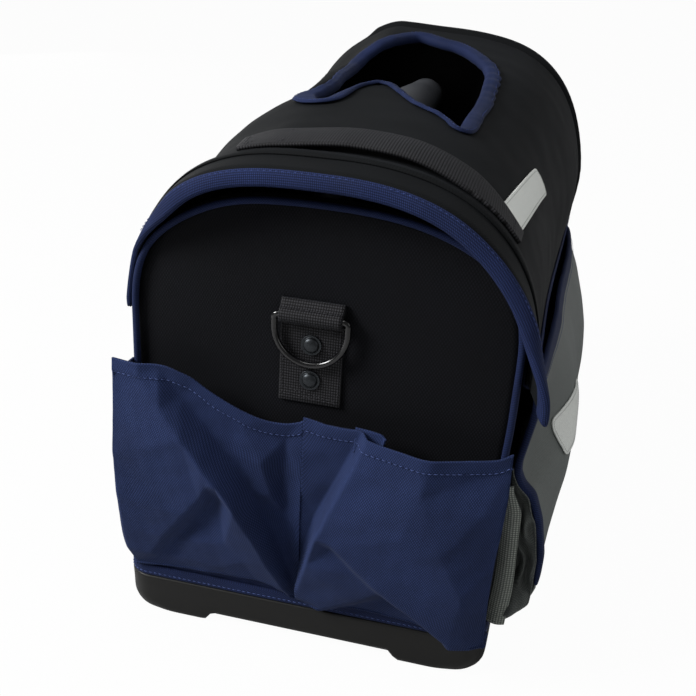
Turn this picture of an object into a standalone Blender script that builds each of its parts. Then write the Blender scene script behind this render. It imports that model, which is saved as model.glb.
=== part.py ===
"""Soft tool bag on a moulded base, with an arched lid that folds back at its rear seam.

Frame: +Z up, the photographed end faces -Y, the right side is +X, origin on the floor
under the middle of the bag. All sizes are in metres.
"""

import math

import bmesh
import bpy
import numpy as np

# Running gaps and sampling
CLEARANCE = 0.0003
CUT_OVERRUN = 0.004
DENSE_SAMPLES = 1441
ARCH_SEGMENTS = 28
TUBE_SIDES = 14
WIRE_SIDES = 8
PIPING_SIDES = 6
TURN_WEIGHT = 0.040

# Main sizes: the walls' outer faces and the crown of the rear ridge seam
SIDE_FACE_X = 0.1155
PANEL_FACE_Y = 0.192
LID_TOP_REAR = 0.347

# Moulded base tray
TRAY_LEDGE = 0.004
TRAY_HALF_WIDTH = SIDE_FACE_X + TRAY_LEDGE
TRAY_HALF_LENGTH = PANEL_FACE_Y + TRAY_LEDGE
TRAY_HEIGHT = 0.028
TRAY_WALL = 0.003
TRAY_FLOOR = 0.003
TRAY_CORNER_RADIUS = 0.008
TRAY_DRAFT = 0.0012
FOOT_HEIGHT = 0.006
FOOT_LENGTH_END = 0.058
FOOT_LENGTH_SIDE = 0.066
FOOT_SLOPE = 0.005
RIB_HEIGHT = 0.0032
RIB_THICKNESS = 0.0022
CROSS_RIBS = 5
LONG_RIBS = 3
CORNER_STEPS = 4

# Stiffening boards
BASE_BOARD_THICKNESS = 0.003
END_BOARD_THICKNESS = 0.0025
END_BOARD_INSET = 0.0075

# Binding round the foot of the fabric walls
BASE_BINDING_HEIGHT = 0.0062
BASE_BINDING_THICKNESS = 0.0029

# Lid
LID_SIDE_EASE = 0.0075
LID_HALF_WIDTH = SIDE_FACE_X + LID_SIDE_EASE
LID_FALL = 0.032
LID_TOP_FRONT = LID_TOP_REAR - LID_FALL
LID_ARCH_RISE = 0.115
LID_EDGE_Z = LID_TOP_FRONT - LID_ARCH_RISE
LID_THICKNESS = 0.004
LID_ROWS = 7
RIDGE_SETBACK = 0.0095
RIDGE_Y = PANEL_FACE_Y - RIDGE_SETBACK
SEAM_GAP = 0.0004
HOOD_REACH = 0.0305
HOOD_LEFT_REACH = 0.0175
HOOD_EDGE_Y = RIDGE_Y + HOOD_REACH
HOOD_LEFT_EDGE_Y = RIDGE_Y + HOOD_LEFT_REACH
HOOD_FLARE_RIGHT = 0.0090
HOOD_FLARE_LEFT = -0.0010
HOOD_DROP = 0.0035
HOOD_ROWS = 3
HOOD_TURN_SHARES = (0.16, 0.42)

# Padded fabric walls
PANEL_THICKNESS = 0.005
SIDE_THICKNESS = 0.004
SIDE_PANEL_OVERLAP = 0.035
SIDE_PANEL_TOP = LID_EDGE_Z + SIDE_PANEL_OVERLAP
PANEL_FOOT_INSET = 0.003
FRONT_SHOULDER_RISE = 0.015
FRONT_SHOULDER = LID_EDGE_Z + FRONT_SHOULDER_RISE
FRONT_PANEL_DROP = 0.0215
FRONT_PANEL_TOP = LID_TOP_FRONT - FRONT_PANEL_DROP
REAR_SHOULDER = LID_EDGE_Z
ARCH_POWER = 2.6
PIPING_RADIUS = 0.003
PIPING_END = 0.062

# Hand opening in the lid
OPENING_SIDE_MARGIN = 0.059
OPENING_FAR_MARGIN = 0.0145
OPENING_NEAR_MARGIN = 0.0905
OPENING_HALF_WIDTH = LID_HALF_WIDTH - OPENING_SIDE_MARGIN
OPENING_FAR_Y = RIDGE_Y - OPENING_FAR_MARGIN
OPENING_SIDE_Y = 0.030
OPENING_CORNER_Y = OPENING_NEAR_MARGIN - RIDGE_Y
OPENING_HUMP = 0.052
OPENING_CORNER_SPREAD = 0.004
OPENING_CORNER_RADIUS = 0.010
OPENING_POWER = 2.4
OPENING_SAMPLES = 42
OPENING_CUTTER_DEPTH = 0.012

# Fabric bindings and tapes
BINDING_THICKNESS = 0.0010
BINDING_GAP = 0.0004
OPENING_BINDING_GAP = 0.0010
EDGE_BINDING_LEG = 0.0085
HOOD_BINDING_LEG = 0.0120
OPENING_BINDING_LEG = 0.0080
SEAM_TAPE_WIDTH = 0.008
SEAM_TAPE_THICKNESS = 0.0012
REAR_TAPE_SETBACK = 0.0015

# Hook and loop closure under the lid's long edges
CLOSURE_RISE = 0.0100
CLOSURE_LOW_Z = LID_EDGE_Z + CLOSURE_RISE
CLOSURE_WIDTH = 0.0125
CLOSURE_THICKNESS = 0.0007
CLOSURE_END_MARGIN = 0.0175
CLOSURE_HALF_LENGTH = RIDGE_Y - CLOSURE_END_MARGIN

# Webbing grab handle across the front of the lid
GRAB_LEFT_INSET = 0.008
GRAB_RIGHT_OVERRUN = 0.024
GRAB_LEFT_X = GRAB_LEFT_INSET - OPENING_HALF_WIDTH
GRAB_RIGHT_X = OPENING_HALF_WIDTH + GRAB_RIGHT_OVERRUN
GRAB_WIDTH = 0.030
GRAB_SETBACK = 0.0045
GRAB_THICKNESS = 0.0024
GRAB_RISE = 0.0130
GRAB_TAIL_SHARE = 0.14
GRAB_SEGMENTS = 26

# Pouches on the ends: wall, heights and depth
POCKET_WALL = 0.0018
POUCH_POWER = 4.5
POUCH_COLUMNS = 18
END_POCKET_WRAP = 0.0025
END_POCKET_HALF_SPAN = SIDE_FACE_X + END_POCKET_WRAP
END_POCKET_SPLIT = 0.0008
END_POCKET_LIFT = 0.0020
END_POCKET_LOW_Z = TRAY_HEIGHT + CLEARANCE + BASE_BINDING_HEIGHT + END_POCKET_LIFT
END_POCKET_DROP = 0.011
END_POCKET_OUTER_TOP = LID_EDGE_Z - END_POCKET_DROP
END_POCKET_SLANT = 0.0195
END_POCKET_INNER_TOP = END_POCKET_OUTER_TOP - END_POCKET_SLANT
END_POCKET_SAG = 0.009
END_POCKET_DEPTH = 0.031
END_POCKET_HEIGHT_SHARES = (0.0, 0.05, 0.12, 0.22, 0.60, 1.0)
END_POCKET_DEPTH_SHARES = (0.16, 0.62, 0.88, 1.0, 0.85, 0.62)

# Carry tube, grip and brackets
TUBE_DROP = 0.015
TUBE_AXIS_Z = LID_TOP_FRONT - TUBE_DROP
TUBE_RADIUS = 0.011
TUBE_WALL = 0.0015
TUBE_BEND_RADIUS = 0.030
TUBE_SEAT_DEPTH = 0.0354
TUBE_LEG_SETBACK = 0.0144
BEND_STEPS = 5
GRIP_END_MARGIN = 0.0065
GRIP_RADIUS = 0.0175
GRIP_END_RADIUS = 0.0138
GRIP_END_ROUND = 0.0022
GRIP_STRAIGHT = 0.045
GRIP_STATIONS = 11
BRACKET_HALF_WIDTH = 0.022
BRACKET_PLATE = 0.003
BRACKET_DROP = 0.038
BRACKET_TOP_Z = TUBE_AXIS_Z - BRACKET_DROP
TUBE_FOOT_Z = BRACKET_TOP_Z - TUBE_SEAT_DEPTH
BRACKET_CORNER = 0.006
COLLAR_WALL = 0.005
COLLAR_FLOOR = 0.004
COLLAR_WEB_HALF_WIDTH = 0.010

# D-ring, its webbing patch and the two cap rivets
RING_HALF_WIDTH = 0.0215
RING_SIDE_ROOM = 0.00275
PATCH_HALF_WIDTH = RING_HALF_WIDTH - RING_SIDE_ROOM
PATCH_LIFT = 0.0025
PATCH_LOW_Z = END_POCKET_INNER_TOP + PATCH_LIFT
PATCH_HEIGHT = 0.0635
PATCH_TOP_Z = PATCH_LOW_Z + PATCH_HEIGHT
PATCH_THICKNESS = 0.0016
BRACKET_LIFT = 0.003
BRACKET_FOOT_Z = PATCH_LOW_Z + BRACKET_LIFT
RING_WIRE_RADIUS = 0.0020
RING_HEIGHT = 0.0290
RING_CORNER_RADIUS = 0.0024
RING_BAR_DROP = 0.0087
RING_BAR_Z = PATCH_TOP_Z - RING_BAR_DROP
RING_BORE_GAP = 0.0005
BOW_STEPS = 12
LOOP_WALL = 0.0020
LOOP_FOLD_SHARE = 0.36
LOOP_FOLD_STATIONS = 8
RIVET_LIFT = 0.015
RIVET_SPACING = 0.022
RIVET_LOWER_Z = PATCH_LOW_Z + RIVET_LIFT
RIVET_UPPER_Z = RIVET_LOWER_Z + RIVET_SPACING
RIVET_SHANK_RADIUS = 0.0025
RIVET_FLANGE_RADIUS = 0.0062
RIVET_FLANGE_THICKNESS = 0.0009
RIVET_CAP_RADIUS = 0.0046
RIVET_CAP_RISE = 0.0022
RIVET_TAIL_RADIUS = 0.0050
RIVET_TAIL_THICKNESS = 0.0018
RIVET_SIDES = 12
CAP_STEPS = 3

# Big pockets on the sides
SIDE_POCKET_FRONT_MARGIN = 0.0105
SIDE_POCKET_REAR_MARGIN = 0.0200
SIDE_POCKET_FRONT_Y = SIDE_POCKET_FRONT_MARGIN - PANEL_FACE_Y
SIDE_POCKET_REAR_Y = PANEL_FACE_Y - SIDE_POCKET_REAR_MARGIN
SIDE_POCKET_LIFT = 0.0020
SIDE_POCKET_LOW_Z = END_POCKET_LOW_Z + SIDE_POCKET_LIFT
SIDE_POCKET_DROP = 0.0055
SIDE_POCKET_TOP_Z = LID_EDGE_Z - SIDE_POCKET_DROP
SIDE_POCKET_DEPTH = 0.0345
SIDE_POCKET_DEPTH_SHARES = ((0.0, 0.17), (0.05, 0.50), (0.14, 0.76), (0.34, 0.92),
                            (0.72, 1.0), (0.84, 0.90), (0.94, 0.66), (1.0, 0.53))
POUCH_BAND_THICKNESS = 0.0012
TOP_BAND_HEIGHT = 0.0090

# Navy edging and pleated gusset at the front of each side pocket
EDGING_WIDTH = 0.0080
EDGING_THICKNESS = 0.0020
EDGING_SETOFF = 0.0020
EDGING_LEAVE_DROP = 0.0445
EDGING_LEAVE_Z = SIDE_POCKET_TOP_Z - EDGING_LEAVE_DROP
EDGING_LIFT = 0.0395
EDGING_LOW_Z = SIDE_POCKET_LOW_Z + EDGING_LIFT
EDGING_STATIONS = 15
GUSSET_THICKNESS = 0.0012
GUSSET_FOLD_SHARE = 0.95
GUSSET_SETOFF = 0.0007
GUSSET_DROP = 0.018
GUSSET_TOP_Z = EDGING_LEAVE_Z - GUSSET_DROP
GUSSET_ROWS = 8
GUSSET_FOLDS = 6
GUSSET_BAND_FOLDS = 1
GUSSET_BAND_GAP = 0.0007

# Plain woven labels
LABEL_THICKNESS = 0.0010
LABEL_CORNER = 0.0060
LID_LABEL_MARGIN = 0.0060
LID_LABEL_LENGTH = 0.1285
LID_LABEL_FRONT_Y = LID_LABEL_MARGIN - RIDGE_Y
LID_LABEL_REAR_Y = LID_LABEL_FRONT_Y + LID_LABEL_LENGTH
LID_LABEL_WIDTH = 0.0220
LID_LABEL_ARCH_SHARE = 0.770
POCKET_LABEL_MARGIN = 0.0315
POCKET_LABEL_LENGTH = 0.0760
POCKET_LABEL_DROP = 0.067
POCKET_LABEL_FRONT_Y = SIDE_POCKET_FRONT_Y + POCKET_LABEL_MARGIN
POCKET_LABEL_REAR_Y = POCKET_LABEL_FRONT_Y + POCKET_LABEL_LENGTH
POCKET_LABEL_LOW_Z = SIDE_POCKET_TOP_Z - POCKET_LABEL_DROP
POCKET_LABEL_WIDTH = 0.0240
LABEL_MIDDLE_ROWS = 3
LABEL_END_ROWS = 3
LABEL_COLUMNS = 4

# Positions that several pieces share
FLOOR_TOP_Z = FOOT_HEIGHT + TRAY_FLOOR
PANEL_LOW_Z = FLOOR_TOP_Z + CLEARANCE
BASE_BOARD_LOW_Z = FLOOR_TOP_Z + RIB_HEIGHT + CLEARANCE
END_BOARD_LOW_Z = BASE_BOARD_LOW_Z + BASE_BOARD_THICKNESS + CLEARANCE
PANEL_INNER_Y = PANEL_FACE_Y - PANEL_THICKNESS
BOARD_OUTER_Y = PANEL_INNER_Y - CLEARANCE
BOARD_INNER_Y = BOARD_OUTER_Y - END_BOARD_THICKNESS
BRACKET_OUTER_Y = BOARD_INNER_Y - CLEARANCE
BRACKET_INNER_Y = BRACKET_OUTER_Y - BRACKET_PLATE
TUBE_LEG_Y = BRACKET_INNER_Y - TUBE_LEG_SETBACK
GRIP_HALF_LENGTH = TUBE_LEG_Y - TUBE_BEND_RADIUS - GRIP_END_MARGIN
PATCH_INNER_Y = PANEL_FACE_Y + CLEARANCE
PATCH_OUTER_Y = PATCH_INNER_Y + PATCH_THICKNESS
RING_BORE_RADIUS = RING_WIRE_RADIUS + RING_BORE_GAP
RING_BAR_Y = PATCH_OUTER_Y + LOOP_WALL / 2 + RING_BORE_RADIUS
BASE_BINDING_LOW_Z = TRAY_HEIGHT + CLEARANCE


def clear_scene():
    """Remove every object that the start-up scene holds."""
    for obj in list(bpy.data.objects):
        bpy.data.objects.remove(obj, do_unlink=True)


def make_material(name, colour, roughness, metallic=0.0):
    """A Principled material with one flat colour."""
    material = bpy.data.materials.new(name)
    material.use_nodes = True
    shader = material.node_tree.nodes["Principled BSDF"]
    shader.inputs["Base Color"].default_value = (*colour, 1.0)
    shader.inputs["Roughness"].default_value = roughness
    shader.inputs["Metallic"].default_value = metallic
    return material


def make_object(name, vertices, faces, material, sharp_degrees=35):
    """A mesh object whose faces point outwards, shaded smooth up to the given angle."""
    mesh = bpy.data.meshes.new(name)
    mesh.from_pydata([tuple(float(value) for value in vertex) for vertex in vertices], [], faces)
    work = bmesh.new()
    work.from_mesh(mesh)
    bmesh.ops.recalc_face_normals(work, faces=work.faces)
    work.to_mesh(mesh)
    work.free()
    mesh.shade_smooth()
    mesh.set_sharp_from_angle(angle=math.radians(sharp_degrees))
    mesh.materials.append(material)
    obj = bpy.data.objects.new(name, mesh)
    bpy.context.scene.collection.objects.link(obj)
    return obj


def combine(target, other, operation):
    """Join a hidden tool solid to the target, or cut it away, with a live Boolean."""
    other.display_type = "WIRE"
    other.hide_render = True
    modifier = target.modifiers.new(other.name, "BOOLEAN")
    modifier.operation = operation
    modifier.solver = "EXACT"
    modifier.object = other
    return target


def grid_solid(name, outer, inner, material, sharp_degrees=35):
    """Close two matching grids of points into one sheet with thickness."""
    rows, columns = outer.shape[:2]
    vertices = np.concatenate([outer.reshape(-1, 3), inner.reshape(-1, 3)])
    step = rows * columns
    faces = []
    for row in range(rows - 1):
        for column in range(columns - 1):
            corner = row * columns + column
            quad = (corner, corner + 1, corner + columns + 1, corner + columns)
            faces.append(quad)
            faces.append(tuple(step + index for index in reversed(quad)))
    top = [column for column in range(columns)]
    right = [row * columns + columns - 1 for row in range(rows)]
    bottom = [(rows - 1) * columns + column for column in range(columns)]
    left = [row * columns for row in range(rows)]
    for edge, flip in ((top, True), (right, True), (bottom, False), (left, False)):
        for first, second in zip(edge[:-1], edge[1:]):
            quad = (first, second, step + second, step + first)
            faces.append(tuple(reversed(quad)) if flip else quad)
    return make_object(name, vertices, faces, material, sharp_degrees)


def ring_solid(name, rings, material, closed=False, sharp_degrees=35):
    """Skin a row of equal closed rings, with flat ends unless the row closes on itself."""
    count, points = rings.shape[:2]
    faces = []
    last = count if closed else count - 1
    for ring in range(last):
        following = (ring + 1) % count
        for point in range(points):
            beside = (point + 1) % points
            faces.append((ring * points + point, ring * points + beside,
                          following * points + beside, following * points + point))
    if not closed:
        faces.append(tuple(reversed(range(points))))
        faces.append(tuple((count - 1) * points + point for point in range(points)))
    return make_object(name, rings.reshape(-1, 3), faces, material, sharp_degrees)


def prism(name, outline, axis, low, high, material, sharp_degrees=35):
    """Extrude a flat outline along X, Y or Z between two places."""
    outline = np.asarray(outline, dtype=float)
    rings = []
    for place in (low, high):
        ring = np.insert(outline, "XYZ".index(axis), place, axis=1)
        rings.append(ring)
    return ring_solid(name, np.array(rings), material, sharp_degrees=sharp_degrees)


def resample(points, count, closed=False, turn_weight=0.0):
    """Space points evenly along a polyline by length, closer together where it turns."""
    points = np.asarray(points, dtype=float)
    if closed:
        points = np.vstack([points, points[:1]])
    steps = np.diff(points, axis=0)
    spacing = np.linalg.norm(steps, axis=1)
    if turn_weight:
        heading = np.unwrap(np.arctan2(steps[:, 1], steps[:, 0]))
        spacing = spacing + turn_weight * np.abs(np.gradient(heading))
    lengths = np.concatenate([[0.0], np.cumsum(spacing)])
    wanted = np.linspace(0, lengths[-1], count + 1 if closed else count)
    result = np.column_stack([np.interp(wanted, lengths, points[:, k]) for k in range(points.shape[1])])
    return result[:-1] if closed else result


def rounded_rectangle(half_x, half_y, radius, steps=CORNER_STEPS):
    """Outline of a rectangle with round corners, anticlockwise."""
    points = []
    for corner in range(4):
        angle = corner * math.pi / 2
        centre_x = (half_x - radius) * (1 if corner in (0, 3) else -1)
        centre_y = (half_y - radius) * (1 if corner in (0, 1) else -1)
        for step in range(steps + 1):
            turn = angle + step / steps * math.pi / 2
            points.append((centre_x + radius * math.cos(turn), centre_y + radius * math.sin(turn)))
    return points


def circle(radius, sides, centre=(0.0, 0.0)):
    """Points of a circle in a plane."""
    turns = np.linspace(0, 2 * math.pi, sides, endpoint=False)
    return np.column_stack([centre[0] + radius * np.cos(turns), centre[1] + radius * np.sin(turns)])


def arch(half_left, half_right, shoulder, top, count=ARCH_SEGMENTS, power=ARCH_POWER):
    """Superellipse arch from the left shoulder over the crown to the right, as (x, z)."""
    turns = np.linspace(math.pi, 0, DENSE_SAMPLES)
    cosine = np.cos(turns)
    half = np.where(cosine < 0, half_left, half_right)
    x = half * np.sign(cosine) * np.abs(cosine) ** (2 / power)
    z = shoulder + (top - shoulder) * np.abs(np.sin(turns)) ** (2 / power)
    return resample(np.column_stack([x, z]), count + 1, turn_weight=TURN_WEIGHT)


def path_normals(points):
    """Left-hand normals of an (x, z) polyline, which face out of an arch."""
    tangents = np.gradient(points, axis=0)
    tangents /= np.linalg.norm(tangents, axis=1)[:, None]
    return np.column_stack([-tangents[:, 1], tangents[:, 0]])


def panel_outline(half_foot, half_top, shoulder, top, low, inset=0.0):
    """Outline of an end wall: straight sides that widen upwards, closed by an arch."""
    crown = arch(half_top, half_top, shoulder, top)
    crown = crown - inset * path_normals(crown)
    left_foot = (-(half_foot - inset), low)
    right_foot = (half_foot - inset, low)
    return [left_foot] + [tuple(point) for point in crown] + [right_foot]


def smooth_step(value, low, high):
    """0 below low, 1 above high, with a soft rise between."""
    share = np.clip((value - low) / (high - low), 0, 1)
    return share * share * (3 - 2 * share)


def lid_top(y):
    """Height of the lid's crown, which climbs from the front ridge to the rear one."""
    return LID_TOP_FRONT + (LID_TOP_REAR - LID_TOP_FRONT) * (y + RIDGE_Y) / (2 * RIDGE_Y)


def lid_row(y):
    """Outer points and normals across the lid at one place along its length."""
    outline = arch(LID_HALF_WIDTH, LID_HALF_WIDTH, LID_EDGE_Z, lid_top(y))
    normals = path_normals(outline)
    points = np.column_stack([outline[:, 0], np.full(len(outline), y), outline[:, 1]])
    directions = np.column_stack([normals[:, 0], np.zeros(len(normals)), normals[:, 1]])
    return points, directions


def lid_surface(x, y):
    """Outer point and unit normal of the lid above a place in plan."""
    rise = lid_top(y) - LID_EDGE_Z
    share = abs(x) / LID_HALF_WIDTH
    body = 1 - share ** ARCH_POWER
    z = LID_EDGE_Z + rise * body ** (1 / ARCH_POWER)
    slope_x = -rise / LID_HALF_WIDTH * share ** (ARCH_POWER - 1) * body ** (1 / ARCH_POWER - 1)
    slope_x *= 1 if x >= 0 else -1
    slope_y = (LID_TOP_REAR - LID_TOP_FRONT) / (2 * RIDGE_Y) * body ** (1 / ARCH_POWER)
    normal = np.array([-slope_x, -slope_y, 1.0])
    return np.array([x, y, z]), normal / np.linalg.norm(normal)


def fillet(corner, before, after, radius, steps=CORNER_STEPS):
    """Round one corner of an outline with an arc that touches both of its sides."""
    corner, before, after = (np.asarray(point, dtype=float) for point in (corner, before, after))
    back = (before - corner) / np.linalg.norm(before - corner)
    ahead = (after - corner) / np.linalg.norm(after - corner)
    half_angle = math.acos(np.clip(np.dot(back, ahead), -1, 1)) / 2
    bisector = (back + ahead) / np.linalg.norm(back + ahead)
    centre = corner + bisector * radius / math.sin(half_angle)
    start = corner + back * radius / math.tan(half_angle) - centre
    finish = corner + ahead * radius / math.tan(half_angle) - centre
    first = math.atan2(start[1], start[0])
    sweep = math.atan2(finish[1], finish[0]) - first
    sweep = (sweep + math.pi) % (2 * math.pi) - math.pi
    turns = [first + sweep * step / steps for step in range(steps + 1)]
    return [centre + radius * np.array([math.cos(turn), math.sin(turn)]) for turn in turns]


def opening_outline():
    """Plan of the hand opening: a long round far end, and a near edge humped into the hole."""
    turns = np.linspace(0, math.pi, DENSE_SAMPLES // 8)
    cosine = np.cos(turns)
    far_x = OPENING_HALF_WIDTH * np.sign(cosine) * np.abs(cosine) ** (2 / OPENING_POWER)
    far_y = OPENING_SIDE_Y + (OPENING_FAR_Y - OPENING_SIDE_Y) * np.sin(turns) ** (2 / OPENING_POWER)
    corner_x = OPENING_HALF_WIDTH + OPENING_CORNER_SPREAD
    hump_shares = np.linspace(-1, 1, DENSE_SAMPLES // 16)
    hump_x = hump_shares * corner_x
    hump_y = OPENING_CORNER_Y + OPENING_HUMP * np.cos(hump_shares * math.pi / 2) ** 2
    left_corner = fillet((-corner_x, OPENING_CORNER_Y), (far_x[-1], far_y[-1]),
                         (hump_x[6], hump_y[6]), OPENING_CORNER_RADIUS)
    right_corner = fillet((corner_x, OPENING_CORNER_Y), (hump_x[-7], hump_y[-7]),
                          (far_x[0], far_y[0]), OPENING_CORNER_RADIUS)
    keep = np.abs(hump_x) < abs(left_corner[-1][0])
    points = list(zip(far_x, far_y)) + left_corner + list(zip(hump_x[keep], hump_y[keep])) + right_corner
    return resample(points, OPENING_SAMPLES, closed=True)


def opening_frame():
    """Points on the lid round the opening, with their normals and directions into the fabric."""
    outline = opening_outline()
    points, normals = (np.array(part) for part in zip(*(lid_surface(x, y) for x, y in outline)))
    tangents = np.roll(points, -1, axis=0) - np.roll(points, 1, axis=0)
    inward = np.cross(tangents, normals)
    inward /= np.linalg.norm(inward, axis=1)[:, None]
    return points, inward, normals


def edge_channel(name, points, inward, normals, leg, wall, material, gap=BINDING_GAP, closed=False):
    """A folded binding that wraps the edge of a sheet: web, outer leg and inner leg."""
    near = gap
    far = gap + BINDING_THICKNESS
    section = [(leg, near), (leg, far), (-far, far), (-far, -wall - far),
               (leg, -wall - far), (leg, -wall - near), (-near, -wall - near), (-near, near)]
    rings = np.array([[point + t * into + n * normal for t, n in section]
                      for point, into, normal in zip(points, inward, normals)])
    return ring_solid(name, rings, material, closed=closed)


def make_base_tray(material):
    """Open moulded tub with ribs under its board and a foot at each corner."""
    shell = prism("base_tray", rounded_rectangle(TRAY_HALF_WIDTH, TRAY_HALF_LENGTH, TRAY_CORNER_RADIUS),
                  "Z", 0.0, TRAY_HEIGHT, material)
    shrink = 1 - TRAY_DRAFT / TRAY_HALF_WIDTH
    for vertex in shell.data.vertices:
        if vertex.co.z < CLEARANCE:
            vertex.co.x *= shrink
            vertex.co.y *= shrink
    cavity = prism("cut_tray_cavity", rounded_rectangle(TRAY_HALF_WIDTH - TRAY_WALL,
                                                        TRAY_HALF_LENGTH - TRAY_WALL,
                                                        TRAY_CORNER_RADIUS - TRAY_WALL),
                   "Z", FLOOR_TOP_Z, TRAY_HEIGHT + CUT_OVERRUN, material)
    combine(shell, cavity, "DIFFERENCE")
    for axis, reach, across in (("Y", TRAY_HALF_LENGTH, TRAY_HALF_WIDTH - FOOT_LENGTH_END),
                                ("X", TRAY_HALF_WIDTH, TRAY_HALF_LENGTH - FOOT_LENGTH_SIDE)):
        recess = [(-across - CUT_OVERRUN, -CUT_OVERRUN), (across + CUT_OVERRUN, -CUT_OVERRUN),
                  (across - FOOT_SLOPE, FOOT_HEIGHT), (-across + FOOT_SLOPE, FOOT_HEIGHT)]
        groove = prism("cut_foot_recess_" + axis, recess, axis,
                       -reach - CUT_OVERRUN, reach + CUT_OVERRUN, material)
        combine(shell, groove, "DIFFERENCE")
    add_floor_ribs(shell, material)
    return shell


def add_floor_ribs(shell, material):
    """Cross and long ribs that carry the base board clear of the tray's floor."""
    reach_x = SIDE_FACE_X - SIDE_THICKNESS - 2 * TRAY_WALL
    reach_y = PANEL_INNER_Y - 2 * TRAY_WALL
    low = FLOOR_TOP_Z - TRAY_FLOOR / 2
    high = FLOOR_TOP_Z + RIB_HEIGHT
    half = RIB_THICKNESS / 2
    for index in range(CROSS_RIBS):
        place = reach_y * (2 * (index + 0.5) / CROSS_RIBS - 1)
        outline = [(-reach_x, place - half), (reach_x, place - half),
                   (reach_x, place + half), (-reach_x, place + half)]
        combine(shell, prism("join_cross_rib_%d" % index, outline, "Z", low, high, material), "UNION")
    for index in range(LONG_RIBS):
        place = reach_x * (2 * (index + 0.5) / LONG_RIBS - 1)
        outline = [(place - half, -reach_y), (place + half, -reach_y),
                   (place + half, reach_y), (place - half, reach_y)]
        combine(shell, prism("join_long_rib_%d" % index, outline, "Z", low, high, material), "UNION")


def make_base_board(material):
    """Flat board on the tray's ribs, between the fabric walls."""
    half_x = SIDE_FACE_X - SIDE_THICKNESS - CLEARANCE
    half_y = PANEL_INNER_Y - CLEARANCE
    return prism("base_board", rounded_rectangle(half_x, half_y, TRAY_WALL), "Z",
                 BASE_BOARD_LOW_Z, BASE_BOARD_LOW_Z + BASE_BOARD_THICKNESS, material)


def make_base_binding(material):
    """Folded strip all round the foot of the walls, just above the tray."""
    inner_x = SIDE_FACE_X + CLEARANCE
    inner_y = PANEL_FACE_Y + CLEARANCE
    wall = BASE_BINDING_THICKNESS
    low, high = BASE_BINDING_LOW_Z, BASE_BINDING_LOW_Z + BASE_BINDING_HEIGHT
    inner = rounded_rectangle(inner_x, inner_y, wall)
    outer = rounded_rectangle(inner_x + wall, inner_y + wall, 2 * wall)
    rings = np.array([[(*near, low), (*far, low), (*far, high), (*near, high)]
                      for near, far in zip(inner, outer)])
    return ring_solid("base_binding", rings, material, closed=True)


def cut_rivet_holes(target, end, reach_low, reach_high):
    """Cut the two rivet holes at one end, between two distances from the bag's middle."""
    low, high = sorted((end * reach_low, end * reach_high))
    for label, height in (("upper", RIVET_UPPER_Z), ("lower", RIVET_LOWER_Z)):
        outline = circle(RIVET_SHANK_RADIUS + CLEARANCE, WIRE_SIDES, (0.0, height))
        hole = prism("cut_%s_%s_hole" % (target.name, label), outline, "Y", low, high, None)
        combine(target, hole, "DIFFERENCE")


def end_panel_outline(name, low, inset=0.0):
    """Outline of the front or the rear wall."""
    if name == "front":
        return panel_outline(SIDE_FACE_X - PANEL_FOOT_INSET, SIDE_FACE_X, FRONT_SHOULDER,
                             FRONT_PANEL_TOP, low, inset)
    return panel_outline(SIDE_FACE_X - PANEL_FOOT_INSET, SIDE_FACE_X, REAR_SHOULDER,
                         rear_panel_top(), low, inset)


def rear_panel_top():
    """Crown of the rear wall, just under the fixed rear hood."""
    share = (PANEL_FACE_Y - RIDGE_Y) / (HOOD_EDGE_Y - RIDGE_Y)
    return LID_TOP_REAR - HOOD_DROP * share - LID_THICKNESS - 2 * CLEARANCE


def make_end_wall(name, end, material, board_material):
    """Padded end wall and the stiffening board behind it, both holed for the rivets."""
    low, high = sorted((end * PANEL_INNER_Y, end * PANEL_FACE_Y))
    panel = prism(name + "_panel", end_panel_outline(name, PANEL_LOW_Z), "Y", low, high, material)
    low, high = sorted((end * BOARD_INNER_Y, end * BOARD_OUTER_Y))
    board = prism(name + "_board", end_panel_outline(name, END_BOARD_LOW_Z, END_BOARD_INSET),
                  "Y", low, high, board_material)
    for wall in (panel, board):
        cut_rivet_holes(wall, end, BOARD_INNER_Y - CUT_OVERRUN, PANEL_FACE_Y + CUT_OVERRUN)
    return panel, board


def make_side_wall(name, side, material):
    """Padded side wall between the end walls."""
    low, high = sorted((side * (SIDE_FACE_X - SIDE_THICKNESS), side * SIDE_FACE_X))
    reach = PANEL_INNER_Y - CLEARANCE
    outline = [(-reach, PANEL_LOW_Z), (reach, PANEL_LOW_Z), (reach, SIDE_PANEL_TOP), (-reach, SIDE_PANEL_TOP)]
    return prism(name + "_panel", outline, "X", low, high, material)


def make_piping(name, end, material):
    """Round piping along the rim of an end wall, down into its pockets."""
    outline = np.array(end_panel_outline(name, PANEL_LOW_Z, PIPING_RADIUS))
    arch_part = outline[1:-1]
    fall = (arch_part[0, 1] - PIPING_END) / (arch_part[0, 1] - PANEL_LOW_Z)
    left_end = arch_part[0] + fall * (outline[0] - arch_part[0])
    right_end = arch_part[-1] + fall * (outline[-1] - arch_part[-1])
    path = np.vstack([left_end, arch_part, right_end])
    normals = path_normals(path)
    place = end * (PANEL_FACE_Y + CLEARANCE + PIPING_RADIUS)
    section = circle(PIPING_RADIUS, PIPING_SIDES)
    rings = np.array([[(point[0] + across * normal[0], place + along, point[1] + across * normal[1])
                       for across, along in section] for point, normal in zip(path, normals)])
    return ring_solid(name + "_piping", rings, material)


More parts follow.
